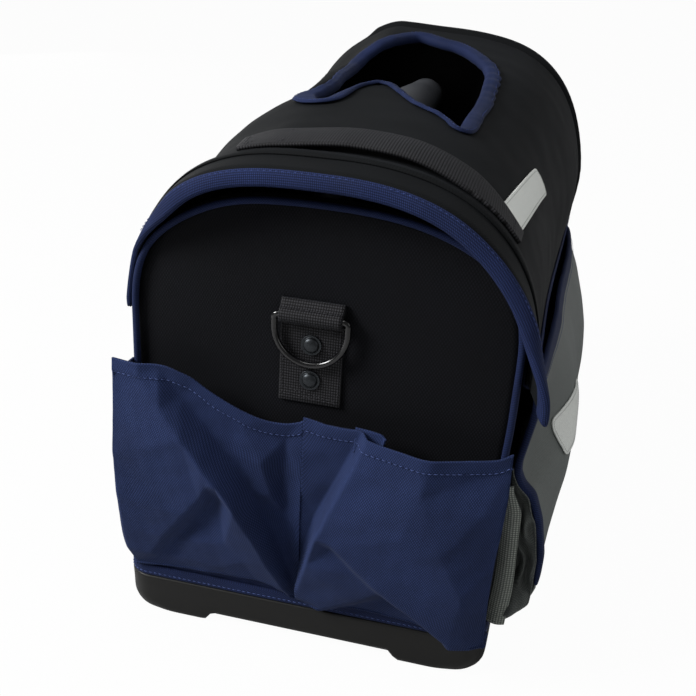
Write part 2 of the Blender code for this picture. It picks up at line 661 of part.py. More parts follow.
def hood_rows(end):
    """Outer points and normals of a hood, from the ridge seam to its free edge."""
    ridge_top = LID_TOP_FRONT if end < 0 else LID_TOP_REAR
    flare_left = HOOD_FLARE_LEFT if end < 0 else 0.0
    flare_right = HOOD_FLARE_RIGHT if end < 0 else 0.0
    left_y = HOOD_LEFT_EDGE_Y if end < 0 else HOOD_EDGE_Y
    shares = np.linspace(0, 1, ARCH_SEGMENTS + 1)
    edge_y = left_y + (HOOD_EDGE_Y - left_y) * smooth_step(shares, *HOOD_TURN_SHARES)
    rows, directions = [], []
    for share in np.linspace(0, 1, HOOD_ROWS):
        outline = arch(LID_HALF_WIDTH + share * flare_left, LID_HALF_WIDTH + share * flare_right,
                       LID_EDGE_Z, ridge_top - share * HOOD_DROP)
        normals = path_normals(outline)
        start = RIDGE_Y + SEAM_GAP
        y = end * (start + share * (edge_y - start))
        rows.append(np.column_stack([outline[:, 0], y, outline[:, 1]]))
        directions.append(np.column_stack([normals[:, 0], np.zeros(len(y)), normals[:, 1]]))
    return np.array(rows), np.array(directions)


def make_hood(name, end, fabric, ribbed):
    """Flared hood beyond the ridge seam, with a wide binding on its free edge."""
    rows, directions = hood_rows(end)
    hood = grid_solid(name + "_hood", rows, rows - LID_THICKNESS * directions, fabric)
    inward = rows[-2] - rows[-1]
    inward /= np.linalg.norm(inward, axis=1)[:, None]
    binding = edge_channel(name + "_hood_binding", rows[-1], inward, directions[-1],
                           HOOD_BINDING_LEG, LID_THICKNESS, ribbed)
    return hood, binding


def make_lid_cover(material):
    """Arched lid fabric between the ridge seams, with the hand opening cut square to it."""
    rows, directions = (np.array(part) for part in
                        zip(*(lid_row(y) for y in np.linspace(-RIDGE_Y, RIDGE_Y, LID_ROWS))))
    cover = grid_solid("lid_cover", rows, rows - LID_THICKNESS * directions, material)
    points, _, normals = opening_frame()
    rings = np.array([points - OPENING_CUTTER_DEPTH * normals, points + OPENING_CUTTER_DEPTH * normals])
    return combine(cover, fan_capped("cut_opening", rings), "DIFFERENCE")


def fan_capped(name, rings):
    """A closed solid between two rings, with a fan of triangles over each."""
    count = rings.shape[1]
    centres = rings.mean(axis=1)
    vertices = np.vstack([rings.reshape(-1, 3), centres])
    faces = []
    for point in range(count):
        beside = (point + 1) % count
        faces.append((point, beside, count + beside, count + point))
        faces.append((beside, point, 2 * count))
        faces.append((count + point, count + beside, 2 * count + 1))
    return make_object(name, vertices, faces, None)


def make_opening_binding(material):
    """Binding round the hand opening."""
    points, inward, normals = opening_frame()
    return edge_channel("opening_binding", points, inward, normals, OPENING_BINDING_LEG,
                        LID_THICKNESS, material, gap=OPENING_BINDING_GAP, closed=True)


def make_lid_binding(name, side, material):
    """Binding along one long lower edge of the lid."""
    places = np.array([-RIDGE_Y, RIDGE_Y])
    points = np.array([(side * LID_HALF_WIDTH, y, LID_EDGE_Z) for y in places])
    inward = np.tile((0.0, 0.0, 1.0), (2, 1))
    normals = np.tile((float(side), 0.0, 0.0), (2, 1))
    return edge_channel(name + "_lid_binding", points, inward, normals, EDGE_BINDING_LEG,
                        LID_THICKNESS, material)


def make_front_seam_tape(material):
    """Tape over the seam between the lid and the front hood."""
    half = SEAM_TAPE_WIDTH / 2
    lid_points, lid_normals = lid_row(-RIDGE_Y + half)
    ridge_points, ridge_normals = lid_row(-RIDGE_Y)
    hood, hood_normals = hood_rows(-1)
    share = half / (HOOD_EDGE_Y - RIDGE_Y) * (HOOD_ROWS - 1)
    edge_points = hood[0] + share * (hood[1] - hood[0])
    points = np.array([lid_points, ridge_points, edge_points])
    normals = np.array([lid_normals, ridge_normals, hood_normals[0]])
    low = (points + BINDING_GAP * normals)[:, 1:-1]
    high = low + SEAM_TAPE_THICKNESS * normals[:, 1:-1]
    return grid_solid("front_seam_tape", high, low, material)


def make_rear_seam_tape(material):
    """Tape on the fixed hood, just behind the line where the lid folds."""
    hood, normals = hood_rows(1)
    span = HOOD_EDGE_Y - RIDGE_Y
    points = []
    for reach in (REAR_TAPE_SETBACK, REAR_TAPE_SETBACK + SEAM_TAPE_WIDTH):
        share = reach / span * (HOOD_ROWS - 1)
        points.append(hood[0] + share * (hood[1] - hood[0]))
    low = (np.array(points) + BINDING_GAP * normals[:2])[:, 1:-1]
    high = low + SEAM_TAPE_THICKNESS * normals[:2, 1:-1]
    return grid_solid("rear_seam_tape", high, low, material)


def make_closure(name, side, hook_material, loop_material):
    """Hook strip inside the lid's edge and loop strip on the wall that it meets."""
    start = SIDE_FACE_X + CLEARANCE
    outline = [(-CLOSURE_HALF_LENGTH, CLOSURE_LOW_Z), (CLOSURE_HALF_LENGTH, CLOSURE_LOW_Z),
               (CLOSURE_HALF_LENGTH, CLOSURE_LOW_Z + CLOSURE_WIDTH),
               (-CLOSURE_HALF_LENGTH, CLOSURE_LOW_Z + CLOSURE_WIDTH)]
    strips = []
    for label, material in (("loop", loop_material), ("hook", hook_material)):
        low, high = sorted((side * start, side * (start + CLOSURE_THICKNESS)))
        strips.append(prism("%s_%s_strip" % (name, label), outline, "X", low, high, material))
        start += CLOSURE_THICKNESS + CLEARANCE
    return strips


def make_grab_handle(material):
    """Webbing handle across the front of the lid, sewn down at both ends and free between."""
    rear_edge = -RIDGE_Y + GRAB_SETBACK + GRAB_WIDTH
    front_edge = -RIDGE_Y + GRAB_SETBACK
    lift = np.linspace(0, 1, GRAB_SEGMENTS + 1)
    ends = np.minimum(lift, 1 - lift)
    rise = GRAB_RISE * smooth_step(ends, GRAB_TAIL_SHARE, 3 * GRAB_TAIL_SHARE) + BINDING_GAP
    along = GRAB_LEFT_X + (GRAB_RIGHT_X - GRAB_LEFT_X) * lift
    inner = np.empty((2, len(along), 3))
    outer = np.empty_like(inner)
    for row, y in enumerate((front_edge, rear_edge)):
        for column, x in enumerate(along):
            point, normal = lid_surface(x, y)
            inner[row, column] = point + rise[column] * normal
            outer[row, column] = inner[row, column] + GRAB_THICKNESS * normal
    return grid_solid("grab_handle", outer, inner, material)


def tube_path():
    """Centre line of the carry tube as (y, z): up one leg, along, and down the other."""
    points = [(-TUBE_LEG_Y, TUBE_FOOT_Z)]
    for step in range(BEND_STEPS + 1):
        turn = math.pi - step / BEND_STEPS * math.pi / 2
        points.append((-TUBE_LEG_Y + TUBE_BEND_RADIUS * (1 + math.cos(turn)),
                       TUBE_AXIS_Z - TUBE_BEND_RADIUS * (1 - math.sin(turn))))
    return np.array(points + [(-y, z) for y, z in reversed(points)])


def make_carry_tube(material):
    """Bent tube with open ends that stand in the end brackets."""
    path = tube_path()
    normals = path_normals(path)
    walls = []
    for radius in (TUBE_RADIUS, TUBE_RADIUS - TUBE_WALL):
        section = circle(radius, TUBE_SIDES)
        walls.append(np.array([[(side, point[0] + lift * normal[0], point[1] + lift * normal[1])
                                for side, lift in section] for point, normal in zip(path, normals)]))
    outer, inner = walls
    rings = np.concatenate([outer, inner[::-1]])
    return ring_solid("carry_tube", rings, material, closed=True)


def make_tube_grip(material):
    """Moulded grip on the straight of the tube, thickest in the middle."""
    shares = np.linspace(-1, 1, GRIP_STATIONS)
    along = shares * (GRIP_HALF_LENGTH - GRIP_END_ROUND)
    taper = smooth_step(np.abs(along), GRIP_STRAIGHT, GRIP_HALF_LENGTH)
    radius = GRIP_RADIUS + (GRIP_END_RADIUS - GRIP_RADIUS) * taper
    bore = TUBE_RADIUS + CLEARANCE
    profile = [(-GRIP_HALF_LENGTH, bore), (-GRIP_HALF_LENGTH, GRIP_END_RADIUS - GRIP_END_ROUND)]
    profile += list(zip(along, radius))
    profile += [(GRIP_HALF_LENGTH, GRIP_END_RADIUS - GRIP_END_ROUND), (GRIP_HALF_LENGTH, bore)]
    turns = np.linspace(0, 2 * math.pi, TUBE_SIDES, endpoint=False)
    rings = np.array([[(r * math.cos(turn), y, TUBE_AXIS_Z + r * math.sin(turn)) for y, r in profile]
                      for turn in turns])
    return ring_solid("tube_grip", rings, material, closed=True)


def make_bracket(name, end, material):
    """Riveted plate with a blind collar in which one leg of the tube stands."""
    low, high = sorted((end * BRACKET_INNER_Y, end * BRACKET_OUTER_Y))
    middle = (BRACKET_FOOT_Z + BRACKET_TOP_Z) / 2
    half_height = (BRACKET_TOP_Z - BRACKET_FOOT_Z) / 2
    outline = [(x, z + middle) for x, z in
               rounded_rectangle(BRACKET_HALF_WIDTH, half_height, BRACKET_CORNER)]
    plate = prism(name + "_bracket", outline, "Y", low, high, material)
    foot = TUBE_FOOT_Z - CLEARANCE - COLLAR_FLOOR
    leg_y = end * TUBE_LEG_Y
    bore_radius = TUBE_RADIUS + CLEARANCE
    collar = prism("join_collar_" + name, circle(bore_radius + COLLAR_WALL, TUBE_SIDES, (0.0, leg_y)),
                   "Z", foot, BRACKET_TOP_Z, material)
    web_low, web_high = sorted((leg_y, end * (BRACKET_INNER_Y + BRACKET_PLATE / 2)))
    web_outline = [(-COLLAR_WEB_HALF_WIDTH, web_low), (COLLAR_WEB_HALF_WIDTH, web_low),
                   (COLLAR_WEB_HALF_WIDTH, web_high), (-COLLAR_WEB_HALF_WIDTH, web_high)]
    web = prism("join_web_" + name, web_outline, "Z", foot + CLEARANCE, BRACKET_TOP_Z - CLEARANCE, material)
    bore = prism("cut_collar_" + name, circle(bore_radius, TUBE_SIDES, (0.0, leg_y)),
                 "Z", TUBE_FOOT_Z - CLEARANCE, BRACKET_TOP_Z + CUT_OVERRUN, material)
    combine(plate, collar, "UNION")
    combine(plate, web, "UNION")
    combine(plate, bore, "DIFFERENCE")
    cut_rivet_holes(plate, end, BRACKET_INNER_Y - CUT_OVERRUN, BRACKET_OUTER_Y + CUT_OVERRUN)
    return plate


def make_ring_loop(name, end, material):
    """Webbing patch whose top folds forward round the bar of the D-ring."""
    loop_radius = RING_BORE_RADIUS + LOOP_WALL
    turns = np.linspace(-math.pi * LOOP_FOLD_SHARE, math.pi / 2, LOOP_FOLD_STATIONS)
    fold = [(RING_BAR_Y + loop_radius * math.cos(turn), RING_BAR_Z + loop_radius * math.sin(turn))
            for turn in turns]
    outline = [(PATCH_INNER_Y, PATCH_LOW_Z), (PATCH_OUTER_Y, PATCH_LOW_Z), (PATCH_OUTER_Y, fold[0][1])]
    outline += fold + [(PATCH_OUTER_Y, PATCH_TOP_Z), (PATCH_INNER_Y, PATCH_TOP_Z)]
    patch = prism(name + "_ring_loop", [(end * y, z) for y, z in outline], "X",
                  -PATCH_HALF_WIDTH, PATCH_HALF_WIDTH, material)
    bore = prism("cut_ring_bore_" + name, circle(RING_BORE_RADIUS, 2 * WIRE_SIDES, (end * RING_BAR_Y, RING_BAR_Z)),
                 "X", -PATCH_HALF_WIDTH - CUT_OVERRUN, PATCH_HALF_WIDTH + CUT_OVERRUN, material)
    combine(patch, bore, "DIFFERENCE")
    cut_rivet_holes(patch, end, PANEL_FACE_Y - CUT_OVERRUN, PATCH_OUTER_Y + CUT_OVERRUN)
    return patch


def make_d_ring(name, end, material):
    """Wire D-ring with its straight bar in the webbing fold, hanging down."""
    drop = RING_HEIGHT - RING_HALF_WIDTH
    corner_left = fillet((-RING_HALF_WIDTH, 0.0), (-RING_HALF_WIDTH, -drop), (0.0, 0.0), RING_CORNER_RADIUS)
    corner_right = fillet((RING_HALF_WIDTH, 0.0), (0.0, 0.0), (RING_HALF_WIDTH, -drop), RING_CORNER_RADIUS)
    turns = np.linspace(0, -math.pi, BOW_STEPS + 1)
    bow = [(RING_HALF_WIDTH * math.cos(turn), -drop + RING_HALF_WIDTH * math.sin(turn)) for turn in turns]
    path = np.array(corner_left + corner_right + bow)
    ahead = np.roll(path, -1, axis=0) - np.roll(path, 1, axis=0)
    ahead /= np.linalg.norm(ahead, axis=1)[:, None]
    normals = np.column_stack([-ahead[:, 1], ahead[:, 0]])
    section = circle(RING_WIRE_RADIUS, WIRE_SIDES)
    rings = np.array([[(point[0] + across * normal[0], along, point[1] + across * normal[1])
                       for across, along in section] for point, normal in zip(path, normals)])
    ring = ring_solid(name + "_d_ring", rings, material, closed=True)
    ring.location = (0.0, end * RING_BAR_Y, RING_BAR_Z)
    return ring


def make_rivet(name, end, height, material):
    """Cap rivet through patch, wall, board and bracket: dome, flange, shank and tail."""
    face = PATCH_OUTER_Y + CLEARANCE
    tail = BRACKET_INNER_Y - CLEARANCE
    crown = face + RIVET_FLANGE_THICKNESS
    profile = [(tail - RIVET_TAIL_THICKNESS, 0.0), (tail - RIVET_TAIL_THICKNESS, RIVET_TAIL_RADIUS),
               (tail, RIVET_TAIL_RADIUS), (tail, RIVET_SHANK_RADIUS), (face, RIVET_SHANK_RADIUS),
               (face, RIVET_FLANGE_RADIUS), (crown, RIVET_FLANGE_RADIUS)]
    for step in range(CAP_STEPS):
        turn = step / CAP_STEPS * math.pi / 2
        profile.append((crown + RIVET_CAP_RISE * math.sin(turn), RIVET_CAP_RADIUS * math.cos(turn)))
    profile.append((crown + RIVET_CAP_RISE, 0.0))
    return revolve(name, profile, end, height, material)


def revolve(name, profile, end, height, material):
    """Turn a (distance, radius) profile round a line along Y; its ends lie on the line."""
    turns = np.linspace(0, 2 * math.pi, RIVET_SIDES, endpoint=False)
    middle = profile[1:-1]
    vertices = [(0.0, end * profile[0][0], height), (0.0, end * profile[-1][0], height)]
    for place, radius in middle:
        vertices += [(radius * math.cos(turn), end * place, height + radius * math.sin(turn))
                     for turn in turns]
    faces = []
    for side in range(RIVET_SIDES):
        beside = (side + 1) % RIVET_SIDES
        faces.append((0, 2 + side, 2 + beside))
        for row in range(len(middle) - 1):
            start = 2 + row * RIVET_SIDES
            faces.append((start + side, start + RIVET_SIDES + side,
                          start + RIVET_SIDES + beside, start + beside))
        last = 2 + (len(middle) - 1) * RIVET_SIDES
        faces.append((1, last + beside, last + side))
    return make_object(name, vertices, faces, material)


def pouch_curve(span_low, span_high, depth, columns, offset=0.0):
    """One level of a pouch as (along, out): a boxy half loop that starts and ends on the wall."""
    turns = np.linspace(math.pi, 0, DENSE_SAMPLES // 4)
    cosine = np.cos(turns)
    half = (span_high - span_low) / 2
    along = (span_low + span_high) / 2 + half * np.sign(cosine) * np.abs(cosine) ** (2 / POUCH_POWER)
    out = depth * np.abs(np.sin(turns)) ** (2 / POUCH_POWER)
    curve = resample(np.column_stack([along, out]), columns + 1, turn_weight=TURN_WEIGHT)
    moved = curve + offset * path_normals(curve)
    moved[[0, -1], 0] = curve[[0, -1], 0] + (-offset, offset)
    moved[[0, -1], 1] = 0.0
    return moved


def pouch_level(frame, span, depth, heights, columns, offset=0.0):
    """World points of one pouch level; heights is one value or one for each column."""
    curve = pouch_curve(span[0], span[1], depth, columns, offset)
    levels = np.broadcast_to(heights, (columns + 1,))
    return np.array([frame(along, out, z) for (along, out), z in zip(curve, levels)])


def end_frame(end):
    """Pouch axes on an end wall: along is X, out is away from the wall."""
    return lambda along, out, z: (along, end * (PANEL_FACE_Y + CLEARANCE + out), z)


def side_frame(side):
    """Pouch axes on a side wall: along is Y, out is away from the wall."""
    return lambda along, out, z: (side * (SIDE_FACE_X + CLEARANCE + out), along, z)


def end_pocket_top(along):
    """Height of an end pocket's hem, lowest beside the middle pleat and sagging between."""
    share = np.clip(np.abs(along) / END_POCKET_HALF_SPAN, 0, 1)
    rise = END_POCKET_INNER_TOP + (END_POCKET_OUTER_TOP - END_POCKET_INNER_TOP) * share
    return rise - END_POCKET_SAG * np.sin(share * math.pi)


def make_end_pocket(name, end, side, material):
    """Full pouch on one half of an end wall, open at the top."""
    span = sorted((side * END_POCKET_SPLIT, side * END_POCKET_HALF_SPAN))
    frame = end_frame(end)
    grids = {0.0: [], -POCKET_WALL: []}
    for height_share, depth_share in zip(END_POCKET_HEIGHT_SHARES, END_POCKET_DEPTH_SHARES):
        depth = END_POCKET_DEPTH * depth_share
        along = pouch_curve(span[0], span[1], depth, POUCH_COLUMNS)[:, 0]
        heights = END_POCKET_LOW_Z + height_share * (end_pocket_top(along) - END_POCKET_LOW_Z)
        for offset, rows in grids.items():
            rows.append(pouch_level(frame, span, depth, heights, POUCH_COLUMNS, offset))
    outer, inner = (np.array(rows) for rows in grids.values())
    return grid_solid(name, outer, inner, material)


def side_pocket_depth(z):
    """How far the big side pocket bulges from its wall at one height."""
    share = (z - SIDE_POCKET_LOW_Z) / (SIDE_POCKET_TOP_Z - SIDE_POCKET_LOW_Z)
    heights, depths = zip(*SIDE_POCKET_DEPTH_SHARES)
    return SIDE_POCKET_DEPTH * float(np.interp(share, heights, depths))


def side_pocket_grid(side, heights, offset=0.0):
    """Grid of the side pocket's surface at the given heights, moved out by an offset."""
    span = (SIDE_POCKET_FRONT_Y, SIDE_POCKET_REAR_Y)
    return np.array([pouch_level(side_frame(side), span, side_pocket_depth(z), z, POUCH_COLUMNS, offset)
                     for z in heights])


def make_side_pocket(name, side, grey, navy, ribbed):
    """Big bulging pocket with its top binding, front edging and pleated gusset."""
    heights = [SIDE_POCKET_LOW_Z + share * (SIDE_POCKET_TOP_Z - SIDE_POCKET_LOW_Z)
               for share, _ in SIDE_POCKET_DEPTH_SHARES]
    grid_solid(name + "_side_pocket", side_pocket_grid(side, heights),
               side_pocket_grid(side, heights, -POCKET_WALL), grey)
    hem = (SIDE_POCKET_TOP_Z - TOP_BAND_HEIGHT, SIDE_POCKET_TOP_Z)
    grid_solid(name + "_pocket_binding", side_pocket_grid(side, hem, BINDING_GAP + POUCH_BAND_THICKNESS),
               side_pocket_grid(side, hem, BINDING_GAP), navy)
    make_pocket_edging(name + "_pocket_edging", side, navy)
    make_gusset(name, side, grey, ribbed)


def edging_route():
    """Line of the edging as (out, z): down along the wall, then out and down with the pocket."""
    start = EDGING_THICKNESS
    depth = SIDE_POCKET_DEPTH
    return resample(bezier_chain([(start, SIDE_POCKET_TOP_Z), (start, EDGING_LEAVE_Z), (start, EDGING_LEAVE_Z),
                                  (depth / 2, EDGING_LEAVE_Z - depth), (depth, EDGING_LEAVE_Z - depth),
                                  (depth, EDGING_LOW_Z)]), EDGING_STATIONS)


def make_pocket_edging(name, side, material):
    """Navy edging down the pocket's front edge."""
    frame = side_frame(side)
    place = SIDE_POCKET_FRONT_Y - EDGING_SETOFF
    route = edging_route()
    normals = path_normals(route)
    half = EDGING_THICKNESS / 2
    section = [(-half, 0.0), (half, 0.0), (half, -EDGING_WIDTH), (-half, -EDGING_WIDTH)]
    rings = np.array([[frame(place + along, point[0] + across * normal[0], point[1] + across * normal[1])
                       for across, along in section] for point, normal in zip(route, normals)])
    return ring_solid(name, rings, material)


def gusset_reach(z):
    """How far the gusset runs out from the wall at one height: to the edging or the pocket's bulge."""
    route = edging_route()[::-1]
    to_edging = float(np.interp(z, route[:, 1], route[:, 0])) - 2 * EDGING_THICKNESS
    return min(to_edging, side_pocket_depth(z))


def gusset_sheet(side, heights, folds, offset):
    """Grid of the pleated gusset's face, moved forwards by an offset."""
    frame = side_frame(side)
    rows = []
    for z in heights:
        pleat = gusset_reach(z) / GUSSET_FOLDS
        place = SIDE_POCKET_FRONT_Y - GUSSET_SETOFF - offset
        rows.append([frame(place - GUSSET_FOLD_SHARE * pleat * (fold % 2), fold * pleat, z)
                     for fold in range(folds + 1)])
    return np.array(rows)


def make_gusset(name, side, grey, ribbed):
    """Pleated gusset between the wall and the pocket's front edge, bound along the wall."""
    heights = np.linspace(SIDE_POCKET_LOW_Z, GUSSET_TOP_Z, GUSSET_ROWS)
    grid_solid(name + "_gusset", gusset_sheet(side, heights, GUSSET_FOLDS, GUSSET_THICKNESS),
               gusset_sheet(side, heights, GUSSET_FOLDS, 0.0), grey)
    near = GUSSET_THICKNESS + GUSSET_BAND_GAP
    grid_solid(name + "_gusset_binding",
               gusset_sheet(side, heights, GUSSET_BAND_FOLDS, near + POUCH_BAND_THICKNESS),
               gusset_sheet(side, heights, GUSSET_BAND_FOLDS, near), ribbed)


def bezier_chain(points):
    """One smooth curve led by all of the given points."""
    points = np.asarray(points, dtype=float)
    degree = len(points) - 1
    shares = np.linspace(0, 1, DENSE_SAMPLES // 24)
    weights = [math.comb(degree, k) * shares ** k * (1 - shares) ** (degree - k) for k in range(degree + 1)]
    return np.array(weights).T @ points


def label_half_width(reach, length, width):
    """Half width of a round-cornered label at a distance from its near end."""
    nearest = min(reach, length - reach, LABEL_CORNER)
    short = LABEL_CORNER - math.sqrt(max(LABEL_CORNER ** 2 - (LABEL_CORNER - nearest) ** 2, 0.0))
    return width / 2 - short


def label_reaches(length):
    """Places along a label, closer together at its round ends."""
    turns = np.linspace(1 / (2 * LABEL_END_ROWS), 1, LABEL_END_ROWS) * math.pi / 2
    ends = LABEL_CORNER * (1 - np.cos(turns))
    middle = np.linspace(LABEL_CORNER, length - LABEL_CORNER, LABEL_MIDDLE_ROWS + 2)[1:-1]
    return np.concatenate([ends, middle, length - ends[::-1]])


def make_lid_label(material):
    """Bare label on the right side of the lid."""
    length = LID_LABEL_REAR_Y - LID_LABEL_FRONT_Y
    low_rows, high_rows = [], []
    for reach in label_reaches(length):
        points, normals = lid_row(LID_LABEL_FRONT_Y + reach)
        lengths = np.concatenate([[0.0], np.cumsum(np.linalg.norm(np.diff(points, axis=0), axis=1))])
        centre = LID_LABEL_ARCH_SHARE * lengths[-1]
        half = label_half_width(reach, length, LID_LABEL_WIDTH)
        wanted = centre + np.linspace(-half, half, LABEL_COLUMNS)
        base = np.column_stack([np.interp(wanted, lengths, points[:, k]) for k in range(3)])
        normal = np.column_stack([np.interp(wanted, lengths, normals[:, k]) for k in range(3)])
        low_rows.append(base + BINDING_GAP * normal)
        high_rows.append(base + (BINDING_GAP + LABEL_THICKNESS) * normal)
    return grid_solid("lid_label", np.array(high_rows), np.array(low_rows), material)


def make_pocket_label(material):
    """Bare label on the outer face of the right side pocket."""
    length = POCKET_LABEL_REAR_Y - POCKET_LABEL_FRONT_Y
    middle = POCKET_LABEL_LOW_Z + POCKET_LABEL_WIDTH / 2
    frame = side_frame(1)
    low_rows, high_rows = [], []
    for reach in label_reaches(length):
        half = label_half_width(reach, length, POCKET_LABEL_WIDTH)
        y = POCKET_LABEL_FRONT_Y + reach
        heights = middle + np.linspace(-half, half, LABEL_COLUMNS)
        depths = [pouch_depth_at(y, z) for z in heights]
        low_rows.append([frame(y, depth + BINDING_GAP, z) for depth, z in zip(depths, heights)])
        high_rows.append([frame(y, depth + BINDING_GAP + LABEL_THICKNESS, z)
                          for depth, z in zip(depths, heights)])
    return grid_solid("pocket_label", np.array(high_rows), np.array(low_rows), material)


def pouch_depth_at(y, z):
    """How far the side pocket stands out from the wall at one place."""
    curve = pouch_curve(SIDE_POCKET_FRONT_Y, SIDE_POCKET_REAR_Y, side_pocket_depth(z), POUCH_COLUMNS)
    return float(np.interp(y, curve[:, 0], curve[:, 1]))


def make_materials():
    """Colours and finishes of the bag's fabrics, plastics and metal."""
    return {
        "black_fabric": make_material("black_fabric", (0.012, 0.012, 0.013), 0.85),
        "navy_fabric": make_material("navy_fabric", (0.020, 0.032, 0.090), 0.85),
        "grey_fabric": make_material("grey_fabric", (0.080, 0.092, 0.084), 0.85),
        "navy_binding": make_material("navy_binding", (0.022, 0.034, 0.095), 0.75),
        "grey_binding": make_material("grey_binding", (0.072, 0.082, 0.074), 0.75),
        "black_webbing": make_material("black_webbing", (0.010, 0.010, 0.011), 0.7),
        "base_plastic": make_material("base_plastic", (0.017, 0.017, 0.016), 0.5),
        "board_plastic": make_material("board_plastic", (0.03, 0.03, 0.03), 0.6),
        "tube_metal": make_material("tube_metal", (0.30, 0.30, 0.30), 0.4, 1.0),
        "grip_plastic": make_material("grip_plastic", (0.060, 0.060, 0.062), 0.55),
        "ring_metal": make_material("ring_metal", (0.02, 0.02, 0.02), 0.25, 1.0),
        "rivet_metal": make_material("rivet_metal", (0.06, 0.065, 0.065), 0.35, 1.0),
        "label_white": make_material("label_white", (0.68, 0.72, 0.66), 0.6),
    }


def build():
    """Make every sub-part of the bag."""
    clear_scene()
    look = make_materials()
    make_base_tray(look["base_plastic"])
    make_base_board(look["board_plastic"])
    make_base_binding(look["navy_binding"])
    for name, end in (("front", -1), ("rear", 1)):
        make_end_wall(name, end, look["black_fabric"], look["board_plastic"])
        make_piping(name, end, look["navy_binding"])
        make_hood(name, end, look["black_fabric"], look["navy_binding"])
        make_bracket(name, end, look["board_plastic"])
        make_ring_loop(name, end, look["black_webbing"])
        make_d_ring(name, end, look["ring_metal"])
        make_rivet(name + "_rivet_upper", end, RIVET_UPPER_Z, look["rivet_metal"])
        make_rivet(name + "_rivet_lower", end, RIVET_LOWER_Z, look["rivet_metal"])
        make_end_pocket(name + "_left_pocket", end, -1, look["navy_fabric"])
        make_end_pocket(name + "_right_pocket", end, 1, look["navy_fabric"])
    for name, side in (("left", -1), ("right", 1)):
        make_side_wall(name, side, look["black_fabric"])
        make_side_pocket(name, side, look["grey_fabric"], look["navy_binding"], look["grey_binding"])
        make_closure(name, side, look["black_webbing"], look["black_webbing"])
        make_lid_binding(name, side, look["navy_binding"])
    make_lid_cover(look["black_fabric"])
    make_opening_binding(look["navy_binding"])
    make_front_seam_tape(look["black_webbing"])
    make_rear_seam_tape(look["black_webbing"])
    make_grab_handle(look["black_webbing"])
    make_carry_tube(look["tube_metal"])
    make_tube_grip(look["grip_plastic"])
    make_lid_label(look["label_white"])
    make_pocket_label(look["label_white"])


build()
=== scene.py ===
# %% [markdown]
# # A soft tool bag, piece by piece
# The bag is a box of padded black cloth on a moulded tray, with an arched lid that folds back at
# its rear seam. Pouches are sewn to all four sides, and a tube with a rubber grip stands inside.
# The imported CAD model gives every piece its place. Each cell makes the finished look of one piece
# as a surface worked out with numpy, and lets it ride on the CAD body that it belongs to.

# %% Load the fixed frame
import math

import bmesh
import bpy
import numpy as np
from mathutils import Matrix, Vector
from mathutils.geometry import delaunay_2d_cdt


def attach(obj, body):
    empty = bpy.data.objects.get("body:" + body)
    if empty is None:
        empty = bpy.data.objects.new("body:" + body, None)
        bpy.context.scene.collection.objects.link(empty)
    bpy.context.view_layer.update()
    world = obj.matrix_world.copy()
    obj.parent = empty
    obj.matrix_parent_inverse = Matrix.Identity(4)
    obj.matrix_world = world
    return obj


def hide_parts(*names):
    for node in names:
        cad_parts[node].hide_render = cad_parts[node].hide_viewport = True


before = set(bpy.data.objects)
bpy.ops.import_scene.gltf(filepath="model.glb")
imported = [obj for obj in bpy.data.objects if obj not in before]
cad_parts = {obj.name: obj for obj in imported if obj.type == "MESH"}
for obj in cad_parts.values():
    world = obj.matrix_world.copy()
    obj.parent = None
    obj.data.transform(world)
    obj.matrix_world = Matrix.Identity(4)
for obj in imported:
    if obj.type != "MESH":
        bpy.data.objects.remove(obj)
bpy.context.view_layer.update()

# %% [markdown]
# ## Camera
# The camera stands where the photograph was taken from: half a metre in front of the near end, to
# its right and above, looking down by 23 degrees. Its three axes and its lens were worked out from
# the corners of the bag that the photograph shows, so there is nothing to aim by eye.

# %% The camera
LENS_MM = 52.75
CAMERA_PLACE = (0.13740, -0.70718, 0.43926)
# The camera's right, its up and its backward direction. The singular vectors below make the three
# exactly square to each other.
CAMERA_AXES = [(0.9680, 0.2443, 0.0569), (-0.1483, 0.3744, 0.9153), (0.2023, -0.8945, 0.3987)]
camera_data = bpy.data.cameras.new("camera")
camera_data.lens = LENS_MM
camera_data.sensor_width = 36.0
camera_data.clip_start = 0.01
camera = bpy.data.objects.new("camera", camera_data)
bpy.context.scene.collection.objects.link(camera)
left_singular, _, right_singular = np.linalg.svd(np.array(CAMERA_AXES))
placing = np.eye(4)
placing[:3, :3] = (left_singular @ right_singular).T
placing[:3, 3] = CAMERA_PLACE
camera.matrix_world = Matrix(placing.tolist())
bpy.context.scene.camera = camera
bpy.context.scene.view_settings.view_transform = "Standard"
print("camera at", np.round(placing[:3, 3], 3))

# %% [markdown]
# ## Numbers that the pieces share
# All sizes are in metres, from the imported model: the walls' outer faces, the lid's arch and the
# places of the seams. A share runs from 0 to 1 along something.

# %% Sizes of the bag
MM = 0.001
# The outer faces of the side walls and of the end walls.
WALL_X, WALL_Y = 0.1155, 0.1920
# The lid: half its width, its lower edges, its crown at the two ridge seams and its thickness.
LID_HALF, LID_EDGE_Z, LID_FRONT_TOP, LID_REAR_TOP, LID_THICK = 0.1230, 0.2000, 0.3150, 0.3470, 0.0040
# The ridge seams and the rear hood's free edge, along the bag.
RIDGE_Y, HOOD_EDGE_Y = 0.1825, 0.2130
# The power of the superellipse that every arch follows.
ARCH_POWER = 2.6
# The foot of the end pouches, and the gap between a wall and what is sewn to it.
FOOT_Z = 0.0365
SEWN_GAP = 0.0003


def unit(vectors):
    """Each vector divided by its length."""
    return vectors / np.maximum(np.linalg.norm(vectors, axis=-1, keepdims=True), 1e-12)


def ease(value, low, high):
    """0 below low, 1 above high, and the cubic 3t^2 - 2t^3 between them."""
    share = np.clip((value - low) / (high - low), 0, 1)
    return share * share * (3 - 2 * share)


def bell(value, width):
    """A bell of height 1 round 0: exp(-(value/width)^2)."""
    return np.exp(-(value / width) ** 2)


